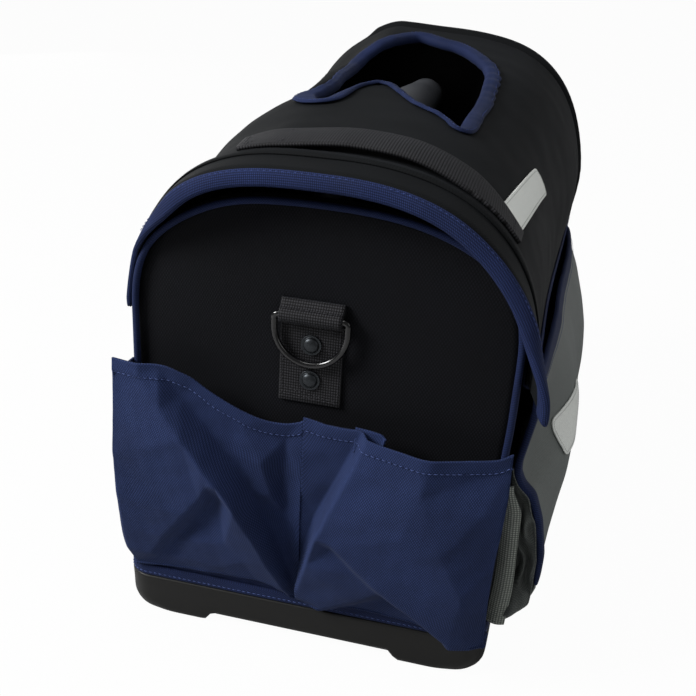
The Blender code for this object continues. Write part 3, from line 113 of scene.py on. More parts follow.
def lengths_along(points):
    """Running length of a polyline."""
    return np.concatenate([[0.0], np.cumsum(np.linalg.norm(np.diff(points, axis=0), axis=1))])


def spaced(points, count):
    """The same polyline, sampled at equal lengths."""
    points = np.asarray(points, dtype=float)
    along = lengths_along(points)
    wanted = np.linspace(0, along[-1], count)
    return np.column_stack([np.interp(wanted, along, points[:, k]) for k in range(points.shape[1])])


def loop_ahead(points):
    """Unit direction along a closed line at each of its points."""
    return unit(np.roll(points, -1, axis=0) - np.roll(points, 1, axis=0))


def closed_line(points):
    """A line with its first point repeated at its end."""
    return np.vstack([points, points[:1]])


def alike(vector, count):
    """The same vector, once for each of count points."""
    return np.tile(np.asarray(vector, dtype=float), (count, 1))


def settle(points):
    """How the empty bag slumps. Each term is a reach in metres times eased shares and bells of x, y
    and z: the left of the front end leans in by 7.5 mm and the right follows, the left flank sags by
    up to 16 mm beside the opening, the rear right shoulder stands out by 8.5 mm, and both rear
    shoulders rise. The left rise fades out at the ridge seam, where the lid is sewn down."""
    x, y, z = (points[..., k] for k in range(3))
    front = ease(-y, 0.05, 0.18) * ease(z, 0.125, 0.185)
    right, flank, rear = ease(x, 0.02, 0.115), ease(-x, 0.030, 0.075), ease(y, -0.06, 0.14)
    sag = flank * ease(z, 0.19, 0.26) * (0.0156 * bell(y - 0.098, 0.098) + 0.0045 * bell(y + 0.125, 0.045))
    left_lean = 0.0075 * front * (1 - ease(z, 0.275, 0.325)) * ease(-x, 0.02, 0.105)
    right_lean = right * (0.0020 * front + 0.0085 * ease(z, 0.18, 0.25) * rear)
    right_rise = 0.0040 * bell(x - 0.088, 0.040) * ease(z, 0.24, 0.31) * rear
    left_rise = 0.0080 * bell(x + 0.070, 0.045) * ease(z, 0.22, 0.30) * ease(y, 0.06, 0.16)
    moved = points.copy()
    moved[..., 0] += left_lean + right_lean + 0.35 * sag
    moved[..., 2] += right_rise + left_rise * (1 - ease(y, RIDGE_Y - 0.0045, RIDGE_Y)) - sag
    return moved


def waves(u, v, size, seed, layers=5):
    """Soft unevenness: a few sine waves of about one size, crossing at chance angles."""
    chance = np.random.default_rng(seed)
    total = np.zeros_like(u)
    for angle, phase, stretch in zip(chance.uniform(0, np.pi, layers), chance.uniform(0, 6.3, layers),
                                     chance.uniform(0.7, 1.5, layers)):
        total += np.sin(2 * np.pi * (u * np.cos(angle) + v * np.sin(angle)) / (size * stretch) + phase)
    return total / layers


# %% [markdown]
# ## Skinning a grid
# Nearly every piece is a grid of points. `skin` joins them with four-sided faces, welds poles,
# turns the faces outwards, and stores a UV map in metres, measured along the cloth, so that a
# weave keeps its real size. A cloth piece then gets its thickness from a Solidify modifier.

# %% Grid to mesh
def cloth_uv(grid):
    """UV in metres: the running length along each row and each column, from the middle."""
    across = np.linalg.norm(np.diff(grid, axis=1), axis=2)
    along = np.linalg.norm(np.diff(grid, axis=0), axis=2)
    u = np.pad(np.cumsum(across, axis=1), ((0, 0), (1, 0)))
    v = np.pad(np.cumsum(along, axis=0), ((1, 0), (0, 0)))
    return np.stack([u - u[:, u.shape[1] // 2, None], v - v[None, v.shape[0] // 2, :]], axis=-1)


def skin(name, grid, material, inside=None, uv=None, round_columns=False, round_rows=False, caps=False,
         thickness=0.0):
    """A mesh object from a grid [rows, columns, 3]. All faces are turned if the sum over the faces of
    normal times (middle - inside) is negative, so sheets face away from the point inside. Closed
    shapes need no such point: the sum is then six times their volume."""
    closed = grid
    if round_columns:
        closed = np.concatenate([closed, closed[:, :1]], axis=1)
    if round_rows:
        closed = np.concatenate([closed, closed[:1]], axis=0)
    if uv is None:
        uv = cloth_uv(closed)
    rows, columns = grid.shape[:2]
    row, column = np.meshgrid(np.arange(closed.shape[0] - 1), np.arange(closed.shape[1] - 1), indexing="ij")
    corners = [(row, column), (row, column + 1), (row + 1, column + 1), (row + 1, column)]
    quads = np.stack([(r % rows) * columns + c % columns for r, c in corners], axis=-1).reshape(-1, 4)
    loops = np.stack([uv[r, c] for r, c in corners], axis=-2).reshape(-1, 4, 2)
    points = grid.reshape(-1, 3)
    a, b, c, d = (points[quads[:, k]] for k in range(4))
    away = (a + b + c + d) / 4 - np.asarray((0, 0, 0) if inside is None else inside)
    inward = (np.cross(c - a, d - b) * away).sum() < 0
    if inward:
        quads, loops = quads[:, ::-1], loops[:, ::-1]
    faces = quads.tolist()
    if caps:
        first, last = list(range(columns)), list(range((rows - 1) * columns, rows * columns))
        faces += [first, last[::-1]] if inward else [first[::-1], last]
    mesh = bpy.data.meshes.new(name)
    mesh.from_pydata(points.tolist(), [], faces)
    layer = mesh.uv_layers.new(name="UVMap")
    flat = np.zeros((len(mesh.loops), 2))
    flat[: loops.size // 2] = loops.reshape(-1, 2)
    layer.data.foreach_set("uv", flat.ravel())
    work = bmesh.new()
    work.from_mesh(mesh)
    bmesh.ops.remove_doubles(work, verts=work.verts, dist=1e-6)
    bmesh.ops.dissolve_degenerate(work, edges=work.edges, dist=1e-7)
    work.to_mesh(mesh)
    work.free()
    mesh.shade_smooth()
    mesh.materials.append(material)
    obj = bpy.data.objects.new(name, mesh)
    bpy.context.scene.collection.objects.link(obj)
    if thickness:
        solid = obj.modifiers.new("thickness", "SOLIDIFY")
        solid.thickness = thickness
        solid.offset = -1.0
    return obj


def keep(obj, body, slot, *nodes):
    """Let a finished piece ride on its body and hide the nodes it stands for. Its slot is not used."""
    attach(obj, body)
    if nodes:
        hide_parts(*nodes)
    print("%-28s %6d faces, on %s" % (obj.name, len(obj.data.polygons), body))
    return obj


def cloth(obj):
    """Return the piece as it is; nothing else is done."""
    return obj


def surface_normals(grid, away_from=(0.0, 0.0, 0.12)):
    """Unit normals of a grid, the cross product of its two directions, facing away from a point."""
    normals = unit(np.cross(np.gradient(grid, axis=0), np.gradient(grid, axis=1)))
    facing = (normals * (grid - np.asarray(away_from))).sum()
    return normals if facing > 0 else -normals


# %% [markdown]
# ## Sweeps, folded tapes and stitches
# Three helpers make nearly all the trim. A sweep carries a closed section along a path. A folded
# tape is a sweep whose section is a letter U that hugs the edge of a cloth. Stitches are tiny bars
# set along a seam, humped in the middle and sunk at the ends, a few faces each.

# %% Sweep, fold and stitch
def sweep(name, path, across, up, section, material, closed=False, scale=None):
    """Rings of section points (s, t) at path + s*across + t*up, each ring scaled if asked. An open
    sweep gets a cap at both ends."""
    section = np.asarray(section, dtype=float)
    if section.ndim == 2:
        section = np.broadcast_to(section, (len(path), *section.shape))
    if scale is not None:
        section = section * np.asarray(scale)[:, None, None]
    rings = path[:, None] + section[..., :1] * across[:, None] + section[..., 1:] * up[:, None]
    return skin(name, rings, material, round_columns=True, round_rows=closed, caps=not closed)


def circle(radius, sides):
    """Points of a circle."""
    turns = np.linspace(0, 2 * np.pi, sides, endpoint=False)
    return np.column_stack([radius * np.cos(turns), radius * np.sin(turns)])


def rounded_bar(width, height, radius, steps=4):
    """Outline of a rectangle with round corners, centred."""
    turns = np.linspace(0, np.pi / 2, steps)
    points = []
    for corner, (sx, sy) in enumerate(((1, 1), (-1, 1), (-1, -1), (1, -1))):
        angle = turns + corner * np.pi / 2
        points.append(np.column_stack([sx * (width / 2 - radius) + radius * np.cos(angle),
                                       sy * (height / 2 - radius) + radius * np.sin(angle)]))
    return np.vstack(points)


def tape_section(leg, wall, tape, gap, puff):
    """Section (into the cloth, along its normal) of a tape folded round a cloth's edge: out along
    the top, half a circle round the edge, back along the underside, and home on the inside."""
    legs = np.linspace(1, 0, 6)
    top = np.column_stack([legs * leg, gap + tape + puff * np.sin(legs * np.pi) ** 0.6])
    top[0, 1] = gap + tape * 0.6
    radius = wall / 2 + gap + tape
    turns = np.linspace(np.pi / 2, 3 * np.pi / 2, 9)[1:-1]
    fold = np.column_stack([radius * 0.85 * np.cos(turns), -wall / 2 + radius * np.sin(turns)])
    bottom = np.column_stack([legs[::-1] * leg, np.full(6, -wall - gap - tape)])
    inner = np.array([(leg, -wall - gap), (-gap, -wall - gap), (-gap, gap), (leg, gap)])
    return np.vstack([top, fold, bottom, inner])


def fold_tape(name, edge, into, normals, material, leg, wall=LID_THICK, tape=0.0010, gap=0.0004,
              puff=0.0005, closed=False, scale=None):
    """A folded tape along an edge. leg may be one width, or one for each point of the edge."""
    leg = np.broadcast_to(leg, (len(edge),))
    section = np.array([tape_section(width, wall, tape, gap, puff) for width in leg])
    return sweep(name, edge, into, normals, section, material, closed=closed, scale=scale)


def stitches(name, path, normals, material, pitch=3.4 * MM, length=2.3 * MM, thick=0.42 * MM):
    """A row of stitches: at each pitch a bar of three diamond rings. The middle one is lifted by 0.35
    of the thickness, and the end ones are sunk by 0.2 of it."""
    along = lengths_along(path)
    count = max(int(along[-1] / pitch), 1)
    starts = (np.arange(count) + 0.2) * along[-1] / count
    places = np.clip(starts[:, None] + np.array([0.0, 0.5, 1.0]) * length, 0, along[-1])
    centre = np.stack([np.interp(places, along, path[:, k]) for k in range(3)], axis=-1)
    up = unit(np.stack([np.interp(places, along, normals[:, k]) for k in range(3)], axis=-1))
    ahead = unit(centre[:, 2:] - centre[:, :1])
    side = unit(np.cross(ahead, up))
    lift = np.array([-0.2, 0.35, -0.2])[None, :, None] * thick
    width = np.array([0.6, 1.0, 0.6])[None, :, None, None] * thick / 2
    corners = np.array([(1, 0), (0, 1), (-1, 0), (0, -1)], dtype=float)
    rings = (centre + lift * up)[:, :, None] + width * (corners[:, :1] * side[:, :, None]
                                                        + corners[:, 1:] * up[:, :, None])
    base = np.arange(count)[:, None, None] * 12
    walls = np.array([[r * 4 + c, r * 4 + (c + 1) % 4, r * 4 + 4 + (c + 1) % 4, r * 4 + 4 + c]
                      for r in range(2) for c in range(4)] + [[3, 2, 1, 0], [8, 9, 10, 11]])
    mesh = bpy.data.meshes.new(name)
    mesh.from_pydata(rings.reshape(-1, 3).tolist(), [], (base + walls).reshape(-1, 4).tolist())
    mesh.shade_smooth()
    mesh.materials.append(material)
    obj = bpy.data.objects.new(name, mesh)
    bpy.context.scene.collection.objects.link(obj)
    volume = sum(face.normal.dot(face.center) * face.area for face in mesh.polygons)
    if volume < 0:
        mesh.flip_normals()
    return obj


# %% [markdown]
# ## Finishes
# The bag is sewn from woven polyester, coated on the inside, with ribbed and plain binding tapes
# and nylon webbing. A weave is two rows of rounded threads that cross: the height is the product
# of two rounded sine waves over the UV map. Real threads are 0.4 to 0.6 mm apart, too fine to
# show in a picture 550 mm across, so they are drawn 0.9 to 2 mm apart. A second, broad noise
# makes the cloth slightly uneven in colour and gloss, as handled cloth is.

# %% Nodes and colours
def linear(code):
    """sRGB hex to linear RGBA: v/12.92 below 0.04045, and ((v + 0.055)/1.055)^2.4 above."""
    values = np.array([int(code[k:k + 2], 16) for k in (1, 3, 5)]) / 255
    values = np.where(values < 0.04045, values / 12.92, ((values + 0.055) / 1.055) ** 2.4)
    return (*[float(value) for value in values], 1.0)


def add(tree, kind, inputs=None, **settings):
    """Add one shader node, with its settings, its input values and the sockets linked to it."""
    node = tree.nodes.new("ShaderNode" + kind)
    for key, value in settings.items():
        setattr(node, key, value)
    for key, value in (inputs or {}).items():
        if isinstance(value, bpy.types.NodeSocket):
            tree.links.new(value, node.inputs[key])
        else:
            node.inputs[key].default_value = value
    return node


def new_material(name, **sockets):
    """A Principled material with the given socket values."""
    material = bpy.data.materials.new(name)
    material.use_nodes = True
    shader = material.node_tree.nodes["Principled BSDF"]
    for key, value in sockets.items():
        shader.inputs[key.replace("_", " ")].default_value = value
    return material, material.node_tree, shader


def dress(tree, shader, base, tone, broad, roughness, drift, height, strength, depth):
    """What every finish ends with: its colour times a tone, a roughness that drifts with the broad
    noise, and a bump of a height, depth mm deep."""
    colour = add(tree, "VectorMath", {0: base, "Scale": tone}, operation="SCALE").outputs[0]
    ends = {3: roughness - drift, 4: roughness + drift}
    rough = add(tree, "MapRange", {0: broad, 1: 0.3, 2: 0.7, **ends}).outputs[0]
    bump = add(tree, "Bump", {"Height": height, "Strength": strength, "Distance": depth * MM}).outputs[0]
    for socket, output in (("Base Color", colour), ("Roughness", rough), ("Normal", bump)):
        tree.links.new(output, shader.inputs[socket])


def woven(name, deep, face, pitch, turn=45.0, depth=0.10, roughness=0.85, sheen=0.15, worn=0.35):
    """Woven cloth, deep between its threads and face on them. The height is |sin(pi u)| |sin(pi v)|,
    with u and v in drawn threads: pitch is their spacing in mm along and across, turn their angle in
    degrees, and depth the bump in mm. worn is how far the colour drifts from place to place."""
    material, tree, shader = new_material(name, Roughness=roughness, Sheen_Weight=sheen, Sheen_Roughness=0.5,
                                          Specular_IOR_Level=0.10)
    shader.inputs["Sheen Tint"].default_value = linear("#9aa2b0")
    place = add(tree, "UVMap", uv_map="UVMap").outputs[0]
    turned = add(tree, "Mapping", {"Vector": place, "Rotation": (0, 0, math.radians(turn)),
                                   "Scale": (1000 / pitch[0], 1000 / pitch[1], 1)}).outputs[0]
    axis = add(tree, "SeparateXYZ", {0: turned})
    threads = []
    for output in (axis.outputs[0], axis.outputs[1]):
        phase = add(tree, "Math", {0: output, 1: math.pi}, operation="MULTIPLY").outputs[0]
        wave = add(tree, "Math", {0: phase}, operation="SINE").outputs[0]
        threads.append(add(tree, "Math", {0: wave}, operation="ABSOLUTE").outputs[0])
    height = add(tree, "Math", {0: threads[0], 1: threads[1]}, operation="MULTIPLY").outputs[0]
    spot = add(tree, "TexCoord").outputs["Object"]
    broad, fine = (add(tree, "TexNoise", {"Vector": spot, "Scale": s, "Detail": d, "Roughness": r}).outputs[0]
                   for s, d, r in ((22.0, 4.0, 0.6), (900.0, 2.0, 0.7)))
    yarn = add(tree, "Mix", {0: height, 6: linear(deep), 7: linear(face)}, data_type="RGBA").outputs[2]
    handled = add(tree, "MapRange", {0: broad, 1: 0.3, 2: 0.7, 3: 1 - worn / 2, 4: 1 + worn / 2}).outputs[0]
    fuzzy = add(tree, "MapRange", {0: fine, 1: 0.25, 2: 0.75, 3: 0.88, 4: 1.12}).outputs[0]
    tone = add(tree, "Math", {0: handled, 1: fuzzy}, operation="MULTIPLY").outputs[0]
    dress(tree, shader, yarn, tone, broad, roughness, 0.06, height, 0.8, depth)
    return material


def speckled(name, code, roughness, grain=1400.0, depth=0.03, spread=0.10, metallic=0.0, **sockets):
    """A moulded, painted or plated surface: one colour, a fine grain in the bump and soft wear. The
    scales are in waves per metre, depth is the grain's height in mm, spread the drift of the colour."""
    sockets = {"Specular_IOR_Level": 0.25, **sockets}
    material, tree, shader = new_material(name, Roughness=roughness, Metallic=metallic, **sockets)
    spot = add(tree, "TexCoord").outputs["Object"]
    noises = [add(tree, "TexNoise", {"Vector": spot, "Scale": s, "Detail": d, "Roughness": 0.6})
              for s, d in ((grain, 3.0), (35.0, 5.0))]
    grains, broad = (noise.outputs[0] for noise in noises)
    tone = add(tree, "MapRange", {0: broad, 1: 0.3, 2: 0.7, 3: 1 - spread, 4: 1 + spread}).outputs[0]
    base = add(tree, "RGB")
    base.outputs[0].default_value = linear(code)
    dress(tree, shader, base.outputs[0], tone, broad, roughness, 0.08, grains, 0.6, depth)
    return material


# %% The bag's finishes
# Black woven polyester of the walls: matt, its threads catch light on a slant.
black_twill = woven("black_woven_polyester", "#030305", "#16171b", (1.3, 2.0), 45, 0.12, roughness=0.85,
                    sheen=0.02)
# The lid's black polyester is finer and smoother, with a soft sheen over its crown.
black_lid = woven("black_fine_polyester", "#070809", "#101214", (1.3, 1.3), 45, 0.06, roughness=0.8,
                  sheen=0.02)
# Navy woven polyester of the end pouches, a clear slanting weave.
navy_cloth = woven("navy_woven_polyester", "#141d36", "#2c385e", (1.1, 1.5), 45, 0.09, roughness=0.85,
                   sheen=0.03)
# Navy ribbed binding tape: its weft ribs lie across the tape.
navy_ribbed = woven("navy_ribbed_tape", "#0c1228", "#26325a", (1.3, 1.1), 0, 0.10, roughness=0.8, sheen=0.03)
# Navy plain tape round the piping, the opening, the pockets' mouths and the foot.
navy_tape = woven("navy_binding_tape", "#0e152b", "#202b50", (1.1, 1.1), 45, 0.06, roughness=0.75,
                  sheen=0.05)
# Grey polyester with a coated face: flatter and a little shinier.
grey_cloth = woven("grey_coated_polyester", "#5a5e5c", "#6a6e6c", (1.1, 1.1), 45, 0.04, roughness=0.6,
                   sheen=0.05, worn=0.2)
# The gusset's grey cloth is soft and thin, and a darker copy of the grey cloth: painted shade.
gusset_cloth_painted_shade = woven("grey_thin_polyester_painted_shade", "#424544", "#5e6260", (1.1, 1.1), 45, 0.05, roughness=0.8,
                     sheen=0.02, worn=0.5)
# Grey ribbed tape on the gussets: pale ribs over dark gaps.
grey_ribbed = woven("grey_ribbed_tape", "#484c49", "#959a93", (1.7, 1.4), 0, 0.2, roughness=0.8, sheen=0.05,
                    worn=0.2)
# Black nylon webbing: coarse ribs crossed by its warp.
black_webbing = woven("black_nylon_webbing", "#040404", "#353538", (1.7, 1.5), 0, 0.25, roughness=0.62,
                      sheen=0.03)
# Hook and loop tape: a deep dull fuzz.
black_fuzz = woven("black_hook_and_loop", "#040405", "#141416", (1.1, 1.1), 20, 0.3, roughness=0.95,
                   sheen=0.1)
# Woven white label, bare: close threads, nearly flat.
label_white = woven("white_woven_label", "#cdd0cc", "#e4e7e3", (0.9, 0.9), 0, 0.03, roughness=0.7, sheen=0.0,
                    worn=0.05)
# Moulded polypropylene of the tray: fine spark texture, dull.
base_plastic = speckled("moulded_black_polypropylene", "#131312", 0.5, 900, 0.05)
# Extruded polyethylene of the boards, and moulded rubber of the grip, both softly dull.
# The boards' black is their own, made darker still as painted shade where they show under the hood.
board_plastic_painted_shade = speckled("extruded_black_polyethylene_painted_shade", "#0c0c0d", 0.5, 500, 0.05)
grip_rubber = speckled("grey_moulded_rubber", "#3a3c40", 0.5, 1200, 0.03)
# Drawn aluminium tube, painted steel ring, plated steel rivets.
tube_metal = speckled("drawn_aluminium", "#9a9da0", 0.35, 700, 0.02, metallic=1.0)
ring_steel = speckled("black_painted_steel", "#08080a", 0.22, 300, 0.01, Coat_Weight=0.6,
                      Coat_Roughness=0.12)
rivet_steel = speckled("dark_plated_steel", "#34373a", 0.38, 600, 0.02, metallic=0.85)
# Polyester sewing thread in four colours, a little paler than the cloth that it lies on.
navy_thread = speckled("navy_polyester_thread", "#2b3a6c", 0.7, 2000, 0.02)
pale_thread = speckled("pale_navy_thread", "#4a5a8c", 0.7, 2000, 0.02)
black_thread = speckled("black_polyester_thread", "#2c2c30", 0.6, 2000, 0.02)
grey_thread = speckled("grey_polyester_thread", "#8b8f8c", 0.7, 2000, 0.02)
print("materials", len(bpy.data.materials))

# %% [markdown]
# ## The moulded tray
# The tray is one polypropylene moulding: a shallow tub with a foot at each corner, rounded where
# its walls turn under. One outline, a rectangle with round corners, is shrunk step by step from
# the rim, down the wall, round its lower edge and across the underside. The underside drops to
# the floor at the four feet and lies 6 mm above it between them.

# %% Tray
def rounded_outline(half_x, half_y, radius, count=360):
    """A rectangle with round corners in plan, as evenly spaced points, anticlockwise."""
    outline = rounded_bar(2 * half_x, 2 * half_y, radius, 14)
    return spaced(closed_line(outline), count + 1)[:-1]


def plan_outward(outline):
    """Outward directions of an outline in plan: its own directions (a, b), turned to (b, -a)."""
    return loop_ahead(outline) @ np.array([(0, -1), (1, 0)])


TRAY_X, TRAY_Y, TRAY_Z, TRAY_FLOOR = 0.1195, 0.1960, 0.0280, 0.0090
TRAY_CORNER = 0.017
FOOT_LENGTH_X, FOOT_LENGTH_Y, FOOT_SLOPE, RECESS = 0.0545, 0.0625, 0.0060, 0.0060
tray_rim = rounded_outline(TRAY_X, TRAY_Y, TRAY_CORNER)
tray_out = plan_outward(tray_rim)


def foot_height(x, y):
    """Height of the underside: 0 at the corner feet, 6 mm between them, with short slopes."""
    off_end = ease(TRAY_X - np.abs(x), FOOT_LENGTH_X, FOOT_LENGTH_X + FOOT_SLOPE)
    off_side = ease(TRAY_Y - np.abs(y), FOOT_LENGTH_Y, FOOT_LENGTH_Y + FOOT_SLOPE)
    return RECESS * np.maximum(off_end, off_side)


def close_to_end(place, half):
    """How close a place is to either end of a half length: 0 from 34 mm off, 1 within 4 mm."""
    return ease(np.abs(place), half - 0.034, half - 0.004)


# Steps of (out from the rim, height) from the tub's floor, up inside, over the lip and down.
LIP_STEPS = [(-0.0030, TRAY_FLOOR), (-0.0030, TRAY_Z - 0.0008), (-0.0024, TRAY_Z - 0.0001),
             (-0.0008, TRAY_Z), (-0.0001, TRAY_Z - 0.0007), (0.0, TRAY_Z - 0.002), (-0.0005, 0.0175)]
tray_rows = [np.column_stack([0 * tray_rim, np.full(360, TRAY_FLOOR)])]
for inset, z in LIP_STEPS:
    tray_rows.append(np.column_stack([tray_rim + inset * tray_out, np.full(360, z)]))
# The wall turns under by a quarter ellipse, 4 mm in and 5 mm up, larger at the corners.
at_corner = close_to_end(tray_rim[:, 0], TRAY_X) * close_to_end(tray_rim[:, 1], TRAY_Y)
turn_in, turn_up = 0.0040 + 0.0050 * at_corner, 0.0050 + 0.0100 * at_corner
for turn in np.linspace(0, np.pi / 2, 12):
    flat = tray_rim - (0.0006 + turn_in * (1 - np.cos(turn)))[:, None] * tray_out
    tray_rows.append(np.column_stack([flat, foot_height(*flat.T) + turn_up * (1 - np.sin(turn))]))
for share in (0.92, 0.86, 0.80, 0.74, 0.68, 0.62, 0.56, 0.52, 0.48, 0.44, 0.4, 0.3, 0.15, 0.0):
    flat = (tray_rim - (0.0006 + turn_in)[:, None] * tray_out) * share
    tray_rows.append(np.column_stack([flat, foot_height(*flat.T)]))
tray = skin("moulded_tray", np.array(tray_rows), base_plastic, round_columns=True)
keep(tray, "body", "base_plastic", "base_tray")

# %% [markdown]
# ## The folded strip round the foot
# The cloth walls end in a navy strip that is sewn to the tray's rim all the way round, with a
# running stitch near its lower edge. It is a soft rounded bar swept round the bag's plan. At both
# ends the strip is wider, a band of tape that reaches up behind the foot of the pouches.

# %% Foot strip
STRIP_OUT, STRIP_Z, STRIP_CORNER = 0.0018, 0.0322, 0.0130
foot_plan = rounded_outline(WALL_X + STRIP_OUT, WALL_Y + STRIP_OUT, STRIP_CORNER, 480)
foot_path = np.column_stack([foot_plan, np.full(480, STRIP_Z)])
foot_across = np.column_stack([plan_outward(foot_plan), np.zeros(480)])
foot_up = alike((0, 0, 1), 480)
foot_strip = sweep("foot_strip", foot_path, foot_across, foot_up, rounded_bar(0.0032, 0.0084, 0.0013),
                   navy_tape, closed=True)
keep(foot_strip, "body", "navy_binding", "base_binding")
stitch_path = foot_path + 0.00165 * foot_across - 0.0016 * foot_up
foot_stitches = stitches("foot_stitches", closed_line(stitch_path), closed_line(foot_across), pale_thread)
keep(foot_stitches, "body", "navy_binding")

BAND_HALF, BAND_LOW, BAND_HEIGHT = 0.1105, 0.0335, 0.0200
for end, label in ((-1, "front"), (1, "rear")):
    u, v = np.meshgrid(np.linspace(-1, 1, 140), np.linspace(0, 1, 14))
    out = 0.0012 + 0.0012 * np.sin(v * np.pi) + 0.0004 * waves(u * 0.11, v * 0.02, 0.03, 15)
    band_grid = np.stack([u * BAND_HALF, end * (WALL_Y + out), BAND_LOW + BAND_HEIGHT * v], axis=-1)
    band = skin(label + "_foot_band", band_grid, navy_tape, inside=(0, 0, 0.04), thickness=0.0010)
    cloth(band)
    keep(band, "body", "navy_binding")

# %% [markdown]
# ## Arch and walls
# Both ends of the bag are arches: a superellipse |x/a|^2.6 + |z/b|^2.6 = 1, which is squarer than
# a half circle. The padded end walls fill such an arch. Each is laid out as rings that shrink
# from the rim to one point, and its face draws back by 1.4 mm at the rim, where it is sewn.

# %% The arch
dense_turns = np.linspace(np.pi, 0, 2001)
dense_x = LID_HALF * np.sign(np.cos(dense_turns)) * np.abs(np.cos(dense_turns)) ** (2 / ARCH_POWER)
dense_z = 0.131 * np.sin(dense_turns).clip(0) ** (2 / ARCH_POWER)
dense_length = lengths_along(np.column_stack([dense_x, dense_z]))
ARCH_LENGTH = dense_length[-1]


def arch(share, half_left, half_right, shoulder, top):
    """Point (x, z) of a superellipse arch at a share of its length, from left to right."""
    turn = np.interp(share, dense_length / ARCH_LENGTH, dense_turns)
    cosine = np.cos(turn)
    half = np.where(cosine < 0, half_left, half_right)
    x = half * np.sign(cosine) * np.abs(cosine) ** (2 / ARCH_POWER)
    z = shoulder + (top - shoulder) * np.sin(turn).clip(0) ** (2 / ARCH_POWER)
    return x, z


def wall_outline(top, shoulder, count=260, inset=0.0):
    """Outline (x, z) of an end wall: foot, straight side, arch, side, foot. The arch may be moved
    inwards by an inset, which eases in between 250 and 285 mm of height."""
    x, z = arch(np.linspace(0, 1, 160), WALL_X, WALL_X, shoulder, top)
    crown = np.column_stack([x, z])
    ahead = unit(np.gradient(crown, axis=0))
    depth = inset * ease(crown[:, 1:], 0.250, 0.285)
    crown = crown - depth * np.column_stack([-ahead[:, 1], ahead[:, 0]])
    foot, foot_z = WALL_X - 0.003, 0.0095
    return spaced(np.vstack([[(-foot, foot_z)], crown, [(foot, foot_z)]]), count)


# %% Padded end walls
FRONT_WALL_TOP, FRONT_SHOULDER = 0.2935, 0.2150
# The rear wall ends 0.6 mm under the hood, which falls by 3.5 mm from the ridge to its free edge.
hood_fall = 0.0035 * (WALL_Y - RIDGE_Y) / (HOOD_EDGE_Y - RIDGE_Y)
rear_wall_top = LID_REAR_TOP - hood_fall - LID_THICK - 0.0006


def end_wall(name, end, top, shoulder):
    """Rings at shares r from the rim, 1, to the point (0, 0.15), 0. The face lies back by 1.4 mm
    times r^6, and has waves of 0.5 mm that fade out at the rim."""
    rim = wall_outline(top, shoulder)
    foot = spaced(np.array([rim[-1], rim[0]]), 62)[1:-1]
    middle = np.array([0, 0.15])
    shares = 1 - np.linspace(0, 1, 46)[:, None] ** 0.8
    flat = middle + shares[..., None] * (np.vstack([rim, foot]) - middle)
    swell = 0.0005 * waves(flat[..., 0], flat[..., 1], 0.09, 3) * (1 - shares) - 0.0014 * shares ** 6
    y = end * (WALL_Y - 0.0002 + swell)
    face = np.stack([flat[..., 0], y, flat[..., 1]], axis=-1)
    uv = np.concatenate([flat, flat[:, :1]], axis=1)
    wall = skin(name, settle(face), black_twill, inside=(0, 0, 0.15), uv=uv, round_columns=True,
                thickness=0.0040)
    return wall


front_wall = end_wall("front_padded_wall", -1, FRONT_WALL_TOP, FRONT_SHOULDER)
keep(front_wall, "body", "black_fabric", "front_panel")
rear_wall = end_wall("rear_padded_wall", 1, rear_wall_top, LID_EDGE_Z)
keep(rear_wall, "body", "black_fabric", "rear_panel")


def side_wall(name, side):
    """A flat padded wall between the ends. Its seams pull its edges in by 1.6 mm times |u|^14 and
    1.4 mm times |2v - 1|^14."""
    u, v = np.meshgrid(np.linspace(-1, 1, 120), np.linspace(0, 1, 60))
    half, low, high = 0.1865, 0.0093, 0.2350
    y, z = u * half, low + v * (high - low)
    pull = 0.0016 * np.abs(u) ** 14 + 0.0014 * (2 * np.abs(v - 0.5)) ** 14
    x = side * (WALL_X - pull + 0.0002 * waves(y, z, 0.08, 11 + side))
    face = settle(np.stack([x, y, z], axis=-1))
    wall = skin(name, face, black_twill, inside=(0, 0, 0.12), thickness=0.0032)
    return wall


keep(side_wall("left_padded_wall", -1), "body", "black_fabric", "left_panel")
keep(side_wall("right_padded_wall", 1), "body", "black_fabric", "right_panel")

# %% [markdown]
# ## Piping
# A cord in a navy strip runs round the rim of each end wall, down into the pouches. It is a round
# sweep along the wall's outline, a little uneven, with its sewn flange behind it.

# %% Piping
PIPING_RADIUS, PIPING_OUT, PIPING_LOW = 0.0021, 0.0012, 0.062


def piping(name, end, top, shoulder):
    """A round sweep of 2.1 mm radius on the wall's outline, 3 mm inside it over the crown, above
    z = 62 mm. Its radius wobbles by 3 percent and shrinks to a third at both ends."""
    path = wall_outline(top, shoulder, 400, inset=0.0030)
    path = spaced(path[path[:, 1] > PIPING_LOW], 300)
    ahead = unit(np.gradient(path, axis=0))
    centre = np.column_stack([path[:, 0], np.full(300, end * (WALL_Y + PIPING_OUT)), path[:, 1]])
    across = np.column_stack([-ahead[:, 1], np.zeros(300), ahead[:, 0]])
    step = np.arange(300)
    wobble = 1 + 0.03 * waves(step / 300.0, np.zeros(300), 0.06, 5)
    ends = ease(np.minimum(step, 299 - step) / 8.0, -0.2, 1)
    return sweep(name, settle(centre), across, alike((0, end, 0), 300), circle(PIPING_RADIUS, 16), navy_tape,
                 scale=wobble * (0.3 + 0.7 * ends))


keep(piping("front_piping_cord", -1, FRONT_WALL_TOP, FRONT_SHOULDER), "body", "navy_binding", "front_piping")
keep(piping("rear_piping_cord", 1, rear_wall_top, LID_EDGE_Z), "body", "navy_binding", "rear_piping")

# %% [markdown]
# ## The lid
# The lid is one arched cloth between the two ridge seams, cut out for the hand. Its crown climbs
# 32 mm from the front to the rear. The cut's near edge is humped into the hole, so that the hand
# meets cloth there and not the grip. The sheet is a grid between two closed lines: the cut and
# the lid's own outline, both drawn on the unrolled lid, and then bent over the arch.

